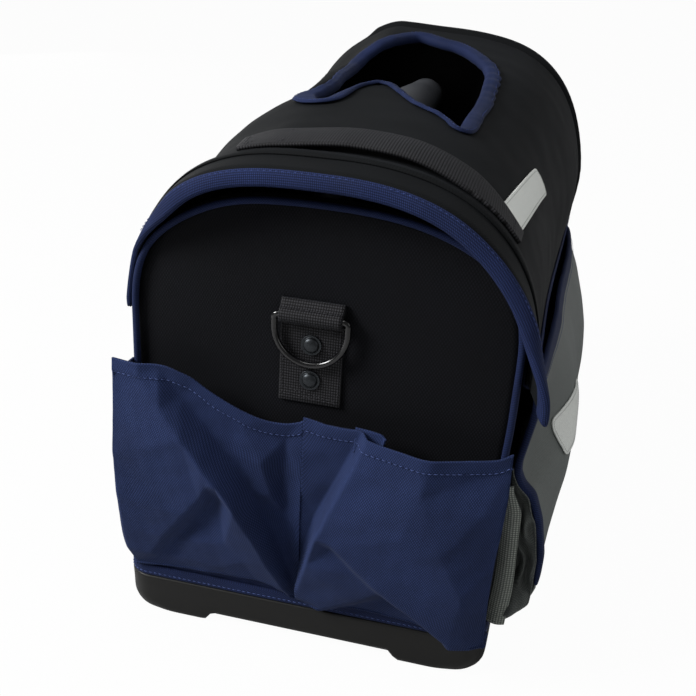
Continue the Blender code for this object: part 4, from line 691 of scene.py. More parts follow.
# %% Lid surface
def lid_top(y):
    """Height of the crown, straight from ridge to ridge."""
    return LID_FRONT_TOP + (LID_REAR_TOP - LID_FRONT_TOP) * (y + RIDGE_Y) / (2 * RIDGE_Y)


LEFT_START = 0.042


def left_start(y):
    """Share of the arch where the lid's left edge lies: it rides up by 17 mm towards the front."""
    return LEFT_START * ease(-y, 0.0, RIDGE_Y)


def lid_point(share, y, lift=0.0):
    """Point and normal of the lid's outer face at a share of the arch and a place along the bag. The
    normal is square to the line between two neighbours on the arch."""
    share, y = np.broadcast_arrays(np.asarray(share, dtype=float), np.asarray(y, dtype=float))
    neighbours = (np.clip(share + step, 0, 1) for step in (-1e-4, 0, 1e-4))
    (x0, z0), (x, z), (x1, z1) = (arch(at, LID_HALF, LID_HALF, LID_EDGE_Z, lid_top(y)) for at in neighbours)
    normal = unit(np.stack([z0 - z1, np.zeros_like(x), x1 - x0], axis=-1))
    points = np.stack([x, y, z], axis=-1) + np.asarray(lift)[..., None] * normal
    return settle(points), normal


def share_of(x):
    """Share of the arch at which the lid has this x."""
    return np.interp(x, dense_x, dense_length / ARCH_LENGTH)


# Places on the cut's outline in plan, in millimetres, from the right side round the far end, down
# the slack left side, across the near corner and over the hump. Seen from (0, 60) each place lies
# in a direction of its own, so that the grid between the cut and the lid's outline can't fold over.
CUT_PLACES = [(60, -52), (61, -16), (60, 13), (58, 37), (56, 62), (51, 82), (42, 100), (32, 118),
              (20, 129), (10, 130), (-2, 139), (-12, 142), (-22, 130), (-30, 115), (-38, 105), (-47, 96),
              (-51, 80), (-48, 42), (-43, 8), (-40, -16), (-42, -34), (-46, -52), (-39, -71), (-31, -73),
              (-26, -56), (-22, -40), (-17, -27), (-9, -17), (1, -21), (13, -40), (27, -61), (36, -67),
              (44, -72), (50, -78), (57, -88), (60, -80)]


def opening_plan(count=420):
    """The cut in plan: the places joined, sampled evenly, and rounded by a circular blur."""
    places = np.array(CUT_PLACES, dtype=float) * MM
    line = spaced(closed_line(places), 841)[:-1]
    shifts = np.arange(-30, 31)
    weights = np.exp(-0.5 * (shifts / 5.5) ** 2)
    line = sum(w * np.roll(line, k, axis=0) for k, w in zip(shifts, weights / weights.sum()))
    return spaced(closed_line(line), count + 1)[:-1]


def divisor(values):
    """Values to divide by, with those next to zero set to 1e-9."""
    return np.where(np.abs(values) < 1e-9, 1e-9, values)


# From the centre, a ray through each point of the cut is drawn out to the lid's own outline.
opening = opening_plan()
cut = np.column_stack([share_of(opening[:, 0]), opening[:, 1]])
centre = np.array([0.5, 0.060])
rays = (cut - centre) * (ARCH_LENGTH, 1)
reach_a = 0.5 * ARCH_LENGTH * np.where(rays[:, 0] > 0, 1, -1) / divisor(rays[:, 0])
reach_y = (RIDGE_Y * np.where(rays[:, 1] > 0, 1, -1) - centre[1]) / divisor(rays[:, 1])
border = centre + rays * np.minimum(reach_a, reach_y)[:, None] / (ARCH_LENGTH, 1)
for corner in ((0, -RIDGE_Y), (1, -RIDGE_Y), (1, RIDGE_Y), (0, RIDGE_Y)):
    nearest = np.argmin(np.abs((border - corner) * (ARCH_LENGTH, 1)).sum(axis=1))
    border[nearest] = corner
rows = np.linspace(0, 1, 60)[:, None, None]
lid_plan = cut + rows * (border - cut)
lid_plan[..., 0] += left_start(lid_plan[..., 1]) * (1 - 2 * lid_plan[..., 0]).clip(0)


def lid_lift(share, y):
    """Unevenness of the lid: waves of 0.9 mm and 0.3 mm that fade out at the sewn edges. From a
    third of the arch to its right end the cloth's hem at the rear seam stands up by 2.6 mm, behind
    a groove 1.6 mm deep."""
    along = share * ARCH_LENGTH
    total = 0.0009 * waves(along, y, 0.11, 21) + 0.0003 * waves(along, y, 0.035, 22)
    edge = np.minimum(np.minimum(share, 1 - share) * ARCH_LENGTH, RIDGE_Y - np.abs(y))
    before_seam = RIDGE_Y - y
    hem = (1 - ease(before_seam, 0.0085, 0.0110)) * ease(before_seam, 0.0, 0.0035) * ease(share, 0.34, 0.37)
    groove = bell(before_seam - 0.0122, 0.0016) * ease(share, 0.34, 0.40)
    return total * ease(edge, 0.0, 0.03) + (0.0026 - 0.0008 * ease(share, 0.6, 0.9)) * hem - 0.0016 * groove


lid_grid, _ = lid_point(lid_plan[..., 0], lid_plan[..., 1], lid_lift(lid_plan[..., 0], lid_plan[..., 1]))
lid_uv = np.concatenate([lid_plan, lid_plan[:, :1]], axis=1) * (ARCH_LENGTH, 1)
lid = skin("lid_cloth", lid_grid, black_lid, inside=(0, 0, 0.1), uv=lid_uv, round_columns=True,
           thickness=0.0036)
cloth(lid)
keep(lid, "lid", "black_fabric", "lid_cover")

# %% [markdown]
# ## Binding of the hand opening
# A navy tape is folded over the cut edge, and rumples where it has to turn. Its leg is narrow on
# the hump and the left, and wide at the near left corner. The tape is swept along the cut with the
# lid's own normals. On the left the slack cloth rolls over, which a flat black sweep shows.

# %% Opening binding
rim, rim_normals = lid_point(cut[:, 0], cut[:, 1], lid_lift(cut[:, 0], cut[:, 1]))
rim_into = unit(np.cross(loop_ahead(rim), rim_normals))
rim_into = rim_into * np.sign((rim_into * (rim - np.array([0, 0.06, 0.32]))).sum(axis=1).mean())
rim_x, rim_y = opening.T
on_hump = ease(rim_x, -0.030, -0.020) * ease(-rim_x, -0.060, -0.050) * ease(-rim_y, -0.02, 0.0)
on_left = ease(-rim_x, 0.030, 0.036) * ease(rim_y, -0.050, -0.030) * ease(-rim_y, -0.09, -0.06)
near_left = bell(np.hypot(rim_x + 0.046, rim_y + 0.058), 0.014)
rumple = waves(lengths_along(rim), np.zeros(len(rim)), 0.019, 31, 3) * (0.5 + 0.5 * ease(rim_x, 0.02, 0.05))
rim_leg = (0.0074 - 0.0014 * ease(rim_y, 0.07, 0.12) - 0.0034 * on_hump - 0.0040 * on_left
           + 0.0060 * near_left + 0.0010 * rumple)
binding = fold_tape("opening_rim_tape", rim + 0.0006 * rumple[:, None] * rim_normals, rim_into, rim_normals,
                    navy_tape, rim_leg, tape=0.0011, gap=0.0008, puff=0.0008, closed=True)
keep(binding, "lid", "navy_binding", "opening_binding")
rim_stitch = rim + 0.0024 * rim_normals + (rim_leg - 0.0016)[:, None] * rim_into
keep(stitches("opening_rim_stitches", closed_line(rim_stitch), closed_line(rim_normals), navy_thread),
     "lid", "navy_binding")

rolled = np.flatnonzero((rim_x < -0.030) & (rim_y > -0.050) & (rim_y < 0.085))
roll_path = rim[rolled] + 0.0062 * rim_into[rolled] + 0.0012 * rim_normals[rolled]
roll_share = np.linspace(0, 1, len(rolled))
roll_size = 0.0034 * (np.sin(np.pi * roll_share).clip(0.001) ** 0.35)
roll_size = roll_size * (1 + 0.15 * waves(roll_share, 0 * roll_share, 0.2, 35))
roll = sweep("opening_rolled_edge", roll_path, rim_into[rolled], rim_normals[rolled],
             circle(1.0, 14) * (1.5, 0.62), black_lid, scale=roll_size)
keep(roll, "lid", "black_fabric")

# %% [markdown]
# ## Hoods
# Beyond each ridge seam the lid's cloth runs on as a hood that shades the end wall. The front hood
# hugs the left side and flares out on the right. Its free edge carries a wide ribbed tape. The rear
# hood belongs to the body, because the lid folds back at the seam in front of it.

# %% Hoods and their bindings
HOOD_LENGTH, HOOD_FLAT, CURL_RADIUS, CURL_TURN = 0.0330, 0.0205, 0.0075, 1.25
HOOD_THICK, HOOD_TAPE = 0.0026, 0.0074


def hood_grid(end, columns=200, rows=22):
    """Rows from the ridge to the free edge. The profile runs straight on for 20.5 mm and then turns
    down round an arc: out = r sin a, down = r (1 - cos a). At the front the arc's turn fades out to
    both sides, the left reaches out less, and the right end flares by 12.5 mm. At the rear the turn
    is a quarter of the front's, and left of the crown the cloth sinks by 3.4 mm next to the seam."""
    share, row = np.meshgrid(np.linspace(0, 1, columns), np.linspace(0, 1, rows))
    front = end < 0
    if front:
        start = LEFT_START + 0.016 * row
        share = start + (1 - start) * share
    curl = ease(share, 0.14, 0.30) * (1 - ease(share, 0.84, 0.99)) if front else 0.25
    turn = CURL_TURN * curl + 1e-6
    length = row * HOOD_LENGTH
    straight = np.minimum(length, HOOD_FLAT)
    angle = np.clip((length - HOOD_FLAT) / CURL_RADIUS, 0, turn)
    rest = np.clip(length - HOOD_FLAT - CURL_RADIUS * turn, 0, None)
    reach = 0.3 + 0.7 * ease(share, 0.10, 0.34) if front else 1.0
    out = reach * (straight + CURL_RADIUS * np.sin(angle) + rest * np.cos(turn))
    down = 0.10 * straight + CURL_RADIUS * (1 - np.cos(angle)) + rest * np.sin(turn)
    valley = (1 - ease(length, 0.014, 0.024)) * ease(share, 0.20, 0.32) * (1 - ease(share, 0.42, 0.49))
    down = down + (0.0 if front else 0.0034) * valley
    x, z = arch(share, LID_HALF, LID_HALF, LID_EDGE_Z, LID_FRONT_TOP if front else LID_REAR_TOP)
    spine = np.stack([x, end * (RIDGE_Y + 0.0004 + out), z], axis=-1)
    turns = np.interp(share, dense_length / ARCH_LENGTH, dense_turns)
    normal = unit(np.stack([np.cos(turns), np.zeros_like(x), np.sin(turns)], axis=-1))
    grid = spine - down[..., None] * normal
    grid[..., 0] += front * 0.0125 * row * ease(share, 0.72, 1.0)
    grid[..., 2] -= front * 0.0015 * row ** 2 * ease(share, 0.90, 1.0)
    soft = 0.0006 * waves(share * ARCH_LENGTH, out, 0.06, 41) * np.sin(row * np.pi)
    return settle(grid + soft[..., None] * surface_normals(grid))


def hood(name, end, body, cloth_node, tape_node):
    """The hood's cloth, its ribbed tape with rounded ends, and the tape's stitches. At each end the
    tape hangs 5.5 mm past the cloth, in four steps that taper. The front one is narrower on the
    left, where its stitches can't be seen."""
    grid = hood_grid(end)
    sheet = skin(name + "_cloth", grid, black_lid, inside=(0, 0, 0.1), thickness=HOOD_THICK)
    cloth(sheet)
    keep(sheet, body, "black_fabric", cloth_node)
    edge, into, up = grid[-1], unit(grid[-4] - grid[-1]), surface_normals(grid)[-2]
    hang = np.linspace(0.0055, 0.0012, 4)[:, None] * np.array([(0, 0, -1.0)])
    edge = np.vstack([edge[0] + hang, edge, (edge[-1] + hang)[::-1]])
    into, up = (np.vstack([alike(way[0], 4), way, alike(way[-1], 4)]) for way in (into, up))
    taper = np.concatenate([(0.45, 0.8, 0.93, 1.0), np.ones(len(edge) - 8), (1.0, 0.93, 0.8, 0.45)])
    if end < 0:
        taper = taper * (0.62 + 0.38 * ease(np.arange(len(edge)) / len(edge), 0.10, 0.26))
    ruffle = 0.0004 * waves(lengths_along(edge), np.zeros(len(edge)), 0.03, 43)
    tape = fold_tape(name + "_ribbed_tape", edge + ruffle[:, None] * up, into, up, navy_ribbed, HOOD_TAPE,
                     wall=HOOD_THICK, tape=0.0009, gap=0.0003, puff=0.0006, scale=taper)
    keep(tape, body, "navy_binding", tape_node)
    line = edge + 0.0062 * taper[:, None] * into + 0.0014 * up
    first = 30 if end < 0 else 4
    keep(stitches(name + "_stitches", line[first:-4], up[first:-4], navy_thread), body, "navy_binding")


hood("front_hood_panel", -1, "lid", "front_hood", "front_hood_binding")
hood("rear_hood_panel", 1, "body", "rear_hood", "rear_hood_binding")

# %% [markdown]
# ## Tapes on the seams and the lid's long edges
# A black tape covers each ridge seam, and a navy tape binds the two long edges of the lid. The rear
# seam's tape lies on the hood and starts right of its sunken part, so that it never meets the lid
# when that folds back. Hook and loop strips hold the long edges.

# %% Seam tapes and edge tapes
def seam_tape(name, rows, lift, body, node):
    """A flat strip on the cloth: three rows of points, raised by a lift."""
    rows = np.array(rows)
    strip = skin(name, rows + lift * surface_normals(rows), black_lid, inside=(0, 0, 0.1), thickness=0.0012)
    cloth(strip)
    keep(strip, body, "black_webbing", node)


def hood_row(grid, row, share):
    """Points on one row of a hood's grid, at shares of that row."""
    columns = np.linspace(0, 1, grid.shape[1])
    return np.column_stack([np.interp(share, columns, grid[row, :, k]) for k in range(3)])


tape_share = np.linspace(0.035, 0.965, 180)
front_rows = [lid_point(tape_share, -RIDGE_Y + 0.004)[0], lid_point(tape_share, -RIDGE_Y)[0],
              hood_row(hood_grid(-1), 3, tape_share)]
seam_tape("front_ridge_tape", front_rows, 0.0011, "lid", "front_seam_tape")
rear_share = np.linspace(0.375, 0.965, 180)
rear_rows = [hood_row(hood_grid(1), row, rear_share) for row in (2, 5, 8)]
seam_tape("rear_ridge_tape", rear_rows, 0.0010, "body", "rear_seam_tape")


def lid_edge_tape(name, side, node):
    """The tape folded round one long lower edge of the lid."""
    y = np.linspace(-RIDGE_Y, RIDGE_Y, 160)
    share = left_start(y) if side < 0 else np.ones(160)
    edge, up = lid_point(share, y)
    into = unit(lid_point(share - side * 0.02, y)[0] - edge)
    tape = fold_tape(name, edge, into, up, navy_ribbed, 0.0085)
    keep(tape, "lid", "navy_binding", node)
    line = edge + 0.0070 * into + 0.0019 * up
    keep(stitches(name + "_stitches", line, up, navy_thread), "lid", "navy_binding")


lid_edge_tape("left_lid_edge_tape", -1, "left_lid_binding")
lid_edge_tape("right_lid_edge_tape", 1, "right_lid_binding")


def closure_strip(name, side, start, body, node):
    """A thin fuzzy strip, sewn flat: hooks inside the lid, loops on the wall. Its rim is 0.3 mm
    lower than its middle, by a high power of the distance from the middle."""
    half, low, width = 0.1650, 0.2100, 0.0125
    u, v = np.meshgrid(np.linspace(-1, 1, 90), np.linspace(0, 1, 8))
    rim_share = np.maximum(np.abs(u) ** 60, np.abs(2 * v - 1) ** 8)
    x = side * (start + 0.0007 - 0.0003 * rim_share)
    strip = skin(name, settle(np.stack([x, u * half, low + v * width], axis=-1)), black_fuzz,
                 inside=(0, 0, 0.12), thickness=0.0004)
    cloth(strip)
    keep(strip, body, "black_webbing", node)


for side, label in ((-1, "left"), (1, "right")):
    sewn = WALL_X + SEWN_GAP
    closure_strip(label + "_loop_tape", side, sewn, "body", label + "_loop_strip")
    closure_strip(label + "_hook_tape", side, sewn + 0.0010, "lid", label + "_hook_strip")

# %% [markdown]
# ## Grab handle
# A strap of black webbing lies across the front of the lid, sewn down at both ends and bowed up
# between them. Where it ends its cut edge is folded under, and a box of stitches holds it.

# %% Grab handle
STRAP_LEFT, STRAP_RIGHT, STRAP_FRONT, STRAP_WIDTH = -0.053, 0.104, -RIDGE_Y + 0.0055, 0.0310
STRAP_RISE, STRAP_THICK = 0.0030, 0.0022


def strap_grid():
    """Points above the lid and its normals there: x runs along the strap, whose height eases up by
    3 mm from both sewn ends. The right end narrows to 0.55 of the width."""
    along, across = np.meshgrid(np.linspace(0, 1, 120), np.linspace(0, 1, 14))
    ends = np.minimum(along, 1 - along)
    hump = 0.0010 * np.sin(across * np.pi) * ease(ends, 0.05, 0.2)
    lift = 0.0006 + STRAP_RISE * ease(ends, 0.14, 0.42) + hump
    narrow = 1 - 0.45 * ease(along, 0.80, 1.0)
    x = STRAP_LEFT + (STRAP_RIGHT - STRAP_LEFT) * along - 0.006 * across * ease(-along, -0.2, 0)
    return lid_point(share_of(x), STRAP_FRONT + STRAP_WIDTH * across * narrow, lift)


strap, strap_up = strap_grid()
strap_piece = skin("webbing_handle", strap + 0.0024 * strap_up, black_webbing, inside=(0, -0.165, 0.2),
                   thickness=STRAP_THICK)
cloth(strap_piece)
keep(strap_piece, "lid", "black_webbing", "grab_handle")
for label, first, last in (("left", 3, 20), ("right", 99, 116)):
    box = [(2, first), (2, last), (11, last), (11, first), (2, first), (11, last), (2, last), (11, first)]
    line = np.vstack([spaced(np.array([strap[a], strap[b]]), 24) for a, b in zip(box, box[1:])])
    box_up = strap_up[5, first]
    keep(stitches("handle_stitches_" + label, line + 0.0026 * box_up, alike(box_up, len(line)), black_thread,
                  pitch=2.6 * MM, length=1.9 * MM), "lid", "black_webbing")

# %% [markdown]
# ## Tube, grip and the metal parts
# The carry tube is a bent aluminium tube, the grip a rubber sleeve that swells in the middle. The
# D-rings are painted wire, and the cap rivets are turned from a profile. Round metal is made by
# turning a profile about an axis, or by carrying a circle along a bent line.

# %% Tube and grip
TUBE_Z, LEG_Y, LEG_FOOT_Z, BEND = 0.3000, 0.1665, 0.2266, 0.0300
TUBE_OUTER, TUBE_INNER = 0.0110, 0.0095
bend_turns = np.linspace(np.pi, np.pi / 2, 16)
bend = np.column_stack([BEND * (1 + np.cos(bend_turns)) - LEG_Y, TUBE_Z - BEND * (1 - np.sin(bend_turns))])
half_path = np.vstack([[(-LEG_Y, LEG_FOOT_Z)], bend])
tube_line = np.vstack([half_path, half_path[::-1] * (-1, 1)])
ahead = unit(np.gradient(tube_line, axis=0))
zeros = np.zeros(len(tube_line))
tube_path = np.column_stack([zeros, tube_line])
tube_up = np.column_stack([zeros, -ahead[:, 1], ahead[:, 0]])
tube_side = alike((1, 0, 0), len(tube_line))
walls = [tube_path[:, None] + circle(radius, 40)[:, :1] * tube_side[:, None]
         + circle(radius, 40)[:, 1:] * tube_up[:, None] for radius in (TUBE_OUTER, TUBE_INNER)]
tube_rings = np.concatenate([walls[0], walls[1][::-1]])
keep(skin("bent_tube", tube_rings, tube_metal, round_columns=True, round_rows=True),
     "body", "tube_metal", "carry_tube")


def turned(name, profile, centre, axis, material, sides=64):
    """Turn a profile of (place p, radius r) about an axis a through a centre c: the point at an
    angle t is c + p a + r (cos t x + sin t (a x x)), with x across the bag."""
    profile, axis = np.asarray(profile, dtype=float), np.asarray(axis, dtype=float)
    first = np.array((1.0, 0.0, 0.0))
    around = circle(1.0, sides)
    spokes = around[:, :1] * first + around[:, 1:] * np.cross(axis, first)
    grid = np.asarray(centre) + profile[:, :1, None] * axis + profile[:, 1:, None] * spokes
    return skin(name, grid, material, round_columns=True)


GRIP_HALF, GRIP_ROUND, GRIP_BORE, GRIP_MIDDLE = 0.1300, 0.0022, 0.0113, 0.0175
grip_along = np.linspace(GRIP_ROUND - GRIP_HALF, GRIP_HALF - GRIP_ROUND, 90)
grip_radius = GRIP_MIDDLE - 0.0037 * ease(np.abs(grip_along), 0.045, GRIP_HALF)
end_turns = np.linspace(0, np.pi / 2, 7)[:-1][::-1]
grip_end = np.column_stack([-GRIP_HALF + GRIP_ROUND * (1 - np.sin(end_turns)),
                            0.0116 + GRIP_ROUND * np.cos(end_turns)])
grip_profile = np.vstack([[(-GRIP_HALF, GRIP_BORE)], grip_end, np.column_stack([grip_along, grip_radius]),
                          (grip_end * (-1, 1))[::-1], [(GRIP_HALF, GRIP_BORE), (-GRIP_HALF, GRIP_BORE)]])
keep(turned("rubber_grip", grip_profile, (0, 0, TUBE_Z), (0, 1, 0), grip_rubber),
     "body", "grip_plastic", "tube_grip")

# %% Rivets, rings and webbing patches
PATCH_OUT = WALL_Y + SEWN_GAP + 0.0016
RING_BAR_OUT, RING_BAR_Z, RING_WIRE = PATCH_OUT + 0.0035, 0.2268, 0.0020


RIVET_SHANK, RIVET_TAIL, RIVET_FLANGE, RIVET_DOME = 0.0025, 0.0050, 0.0059, 0.0046


def rivet(name, end, z, node):
    """A cap rivet from a profile along the bag's length: a tail plate 1.8 mm thick, the shank, a
    flange with a round lip, and a dome 2.2 mm high."""
    face, tail = PATCH_OUT + 0.0003, 0.1806
    profile = [(tail - 0.0018, 0.0), (tail - 0.0018, RIVET_TAIL), (tail, RIVET_TAIL), (tail, RIVET_SHANK),
               (face, RIVET_SHANK), (face, RIVET_FLANGE)]
    profile += [(face + 0.00045 - 0.00045 * np.cos(t), RIVET_FLANGE + 0.0003 * np.sin(t))
                for t in np.linspace(0, np.pi, 7)]
    profile += [(face + 0.00055, 0.0052), (face + 0.00055, 0.0048)]
    profile += [(face + 0.0009 + 0.0022 * np.sin(t), RIVET_DOME * np.cos(t))
                for t in np.linspace(0, np.pi / 2, 12)]
    keep(turned(name, profile, (0, 0, z), (0, end, 0), rivet_steel, 40), "body", "rivet_metal", node)


def d_ring(name, end, body, node):
    """A 2 mm radius wire along a letter D: a bar with tight corners and a half-round bow."""
    half, drop, radius = 0.0215, 0.0075, 0.0024
    corner = np.linspace(0, np.pi / 2, 8)
    left = np.column_stack([-half + radius - radius * np.cos(corner), -radius + radius * np.sin(corner)])
    right = left[::-1] * (-1, 1)
    bow_turns = np.linspace(0, -np.pi, 60)
    bow = np.column_stack([half * np.cos(bow_turns), -drop + half * np.sin(bow_turns)])
    line = spaced(closed_line(np.vstack([left, right, bow])), 161)[:-1]
    ahead = loop_ahead(line)
    path = np.column_stack([line[:, 0], np.full(160, end * RING_BAR_OUT), RING_BAR_Z + line[:, 1]])
    across = np.column_stack([-ahead[:, 1], np.zeros(160), ahead[:, 0]])
    wire = sweep(name, path, across, alike((0, end, 0), 160), circle(RING_WIRE, 16), ring_steel, closed=True)
    keep(wire, body, "ring_metal", node)


PATCH_HALF, PATCH_BACK, PATCH_FOLD = 0.01875, WALL_Y + 0.0004, 0.0045
# Stitch lines on the patch as two places (across, up) each. The lowest ones cross on a slant.
PATCH_LINES = {"top": [(-0.0165, 0.2190), (0.0165, 0.2190)], "under": [(-0.0165, 0.1765), (0.0165, 0.1740)],
               "low": [(0.0160, 0.1752), (-0.0150, 0.1800)], "left": [(-0.0168, 0.1750), (-0.0168, 0.2180)],
               "right": [(0.0168, 0.1750), (0.0168, 0.2180)]}


def webbing_patch(name, end, node):
    """The patch's profile (out, up), with its fold round the ring's bar, carried across its width.
    At both sides the profile shrinks towards the wall, to 0.75 and then 0.6 of its depth."""
    bend = np.linspace(-np.pi * 0.36, np.pi / 2, 14)
    fold = np.array([RING_BAR_OUT, RING_BAR_Z]) + PATCH_FOLD * np.column_stack([np.cos(bend), np.sin(bend)])
    front = np.column_stack([np.full(20, PATCH_OUT), np.linspace(0.1722, fold[0, 1] - 0.0003, 20)])
    ledge = [(PATCH_OUT + 0.0012, 0.2336), (PATCH_OUT + 0.0006, 0.2353), (PATCH_BACK, 0.2355),
             (PATCH_BACK, 0.1720), (PATCH_OUT - 0.0004, 0.1719)]
    outline = np.vstack([front, fold, ledge])
    shares = np.concatenate([[-1.0, -0.985], np.linspace(-0.96, 0.96, 24), [0.985, 1.0]])
    shrink = np.select([np.abs(shares) == 1, np.abs(shares) > 0.97], [0.6, 0.75], 1.0)
    x, out = np.broadcast_arrays(PATCH_HALF * shares[:, None],
                                 PATCH_BACK + shrink[:, None] * (outline[:, 0] - PATCH_BACK))
    rings = np.stack([x, end * out, np.broadcast_to(outline[:, 1], x.shape)], axis=-1)
    patch = skin(name, rings, black_webbing, round_columns=True, caps=True)
    keep(patch, "body", "black_webbing", node)
    for label, places in PATCH_LINES.items():
        line = spaced(places, 60)
        path = np.column_stack([line[:, 0], np.full(60, end * (PATCH_OUT + 0.0001)), line[:, 1]])
        keep(stitches("%s_stitches_%s" % (name, label), path, alike((0, end, 0), 60), black_thread,
                      pitch=2.8 * MM, length=2.1 * MM), "body", "black_webbing")
    top = np.column_stack([np.linspace(-0.0170, 0.0170, 60), np.full(60, end * (RING_BAR_OUT + 0.0014)),
                           np.full(60, RING_BAR_Z + 0.0044)])
    keep(stitches(name + "_fold_stitches", top, alike(unit(np.array((0.0, 0.3 * end, 1.0))), 60),
                  black_thread), "body", "black_webbing")


for end, label in ((-1, "front"), (1, "rear")):
    webbing_patch(label + "_webbing_patch", end, label + "_ring_loop")
    d_ring(label + "_wire_ring", end, label + "_ring", label + "_d_ring")
    rivet(label + "_cap_rivet_upper", end, 0.2090, label + "_rivet_upper")
    rivet(label + "_cap_rivet_lower", end, 0.1870, label + "_rivet_lower")

# %% [markdown]
# ## The slack end pouches
# The navy pouches are the softest part of the bag: more cloth than wall, gathered into a pleat in
# the middle, so it stands in sharp folds. Their shape is a height over the wall. A short list of
# places on the folds gives the height there, a triangle net with the fold lines as its edges
# fills in between, and a light blur rounds the folds to the radius that this cloth can take.

# %% Folded height field
def folded(places, creases, x, z):
    """Height at each (x, z), straight across each triangle of the net of named places. Inside a
    triangle the three weights are the shares of its area that face its corners. A point that the
    net adds, where two creases cross, takes the mean height of the two places nearest to it."""
    names = list(places)
    table = np.array(list(places.values()), dtype=float) * MM
    edges = [(names.index(a), names.index(b)) for chain in creases for a, b in zip(chain, chain[1:])]
    verts, _, faces, sources, _, _ = delaunay_2d_cdt([Vector(p[:2]) for p in table], edges, [], 0, 1e-7)
    points = np.array([tuple(v) for v in verts])
    heights = np.array([table[s[0], 2] if s else np.nan for s in sources])
    for index in np.flatnonzero(np.isnan(heights)):
        near = np.argsort(np.linalg.norm(table[:, :2] - points[index], axis=1))[:2]
        heights[index] = table[near, 2].mean()
    result = np.full(x.shape, np.nan)
    for i, j, k in faces:
        a, b, c = points[i], points[j], points[k]
        area = (b[0] - a[0]) * (c[1] - a[1]) - (b[1] - a[1]) * (c[0] - a[0])
        wb = ((x - a[0]) * (c[1] - a[1]) - (z - a[1]) * (c[0] - a[0])) / area
        wc = ((b[0] - a[0]) * (z - a[1]) - (b[1] - a[1]) * (x - a[0])) / area
        within = (wb >= -1e-6) & (wc >= -1e-6) & (wb + wc <= 1 + 1e-6)
        filled = heights[i] + wb * (heights[j] - heights[i]) + wc * (heights[k] - heights[i])
        result[within] = filled[within]
    return np.where(np.isnan(result), 0.004, result)


def blur(field, width):
    """Gaussian blur along both directions, with the edges held."""
    reach = int(3 * width) + 1
    weights = np.exp(-0.5 * (np.arange(-reach, reach + 1) / width) ** 2)
    weights /= weights.sum()
    for axis in (0, 1):
        padded = np.pad(field, [(reach, reach) if k == axis else (0, 0) for k in range(2)], mode="edge")
        spots = np.arange(field.shape[axis])
        field = sum(w * np.take(padded, spots + k, axis=axis) for k, w in enumerate(weights))
    return field


# %% Folds of the two front pouches, in millimetres: (across, up, out from the wall)
LEFT_FOLDS = {"tl": (-114, 208, 20), "l1": (-117, 164, 23), "l2": (-117, 129, 27), "l3": (-116, 102, 26),
              "l4": (-116, 73, 20), "l5": (-116, 54, 14), "l6": (-114, 41, 7), "l7": (-114, 20, 5),
              "h1": (-99, 208, 22), "h2": (-84, 208, 21), "r0": (-97, 183, 24), "r1": (-82, 166, 29),
              "r2": (-67, 150, 33), "r3": (-54, 134, 35), "r4": (-45, 124, 35), "r5": (-35, 108, 33),
              "r6": (-24, 86, 27), "r7": (-16, 64, 20), "r8": (-8, 42, 10), "b0": (-86, 187, 20),
              "b1": (-74, 170, 17), "b2": (-60, 154, 15), "b3": (-48, 138, 14), "b4": (-39, 127, 13),
              "b5": (-30, 110, 12), "b6": (-19, 88, 9), "b7": (-11, 66, 7), "b8": (-4, 45, 5),
              "h3": (-66, 208, 18), "h4": (-44, 208, 14), "h5": (-20, 208, 9), "h6": (6, 208, 7),
              "m1": (-37, 157, 14), "m2": (-24, 134, 15), "m3": (-18, 112, 13), "v1": (-11, 150, 8),
              "v2": (-12, 122, 6), "v3": (-11, 96, 5), "v4": (-6, 66, 4), "s1": (-1, 166, 9),
              "s2": (0, 148, 9), "s3": (0, 124, 9), "s4": (-1, 96, 8), "s5": (-1, 72, 6),
              "s6": (-4, 31, 3), "c1": (6, 150, 8), "c2": (6, 100, 6), "c3": (6, 50, 3),
              "k1": (-52, 121, 32), "k2": (-58, 109, 28), "k3": (-69, 94, 25), "k4": (-84, 73, 20),
              "k5": (-96, 53, 14), "j1": (-50, 108, 19), "j2": (-66, 86, 14), "j3": (-81, 66, 11),
              "j4": (-93, 49, 8), "q1": (-61, 72, 17), "q2": (-45, 76, 19), "q3": (-34, 62, 16),
              "q4": (-52, 53, 12), "q5": (-76, 52, 10), "e1": (-110, 40, 5), "e2": (-67, 38, 3.5),
              "e3": (-26, 38, 3.5), "e4": (-10, 38, 4), "z1": (-99, 20, 3), "z2": (-5, 20, 3),
              "z3": (6, 20, 3), "out": (-125, 208, 20), "oub": (-125, 20, 5)}
LEFT_CREASES = [("r0", "r1", "r2", "r3", "r4", "r5", "r6", "r7", "r8"),
                ("b0", "b1", "b2", "b3", "b4", "b5", "b6", "b7", "b8"), ("k1", "k2", "k3", "k4", "k5"),
                ("j1", "j2", "j3", "j4"), ("v1", "v2", "v3", "v4"), ("s1", "s2", "s3", "s4", "s5"),
                ("q5", "q1", "q2", "q3"), ("e1", "e2", "e3", "e4")]
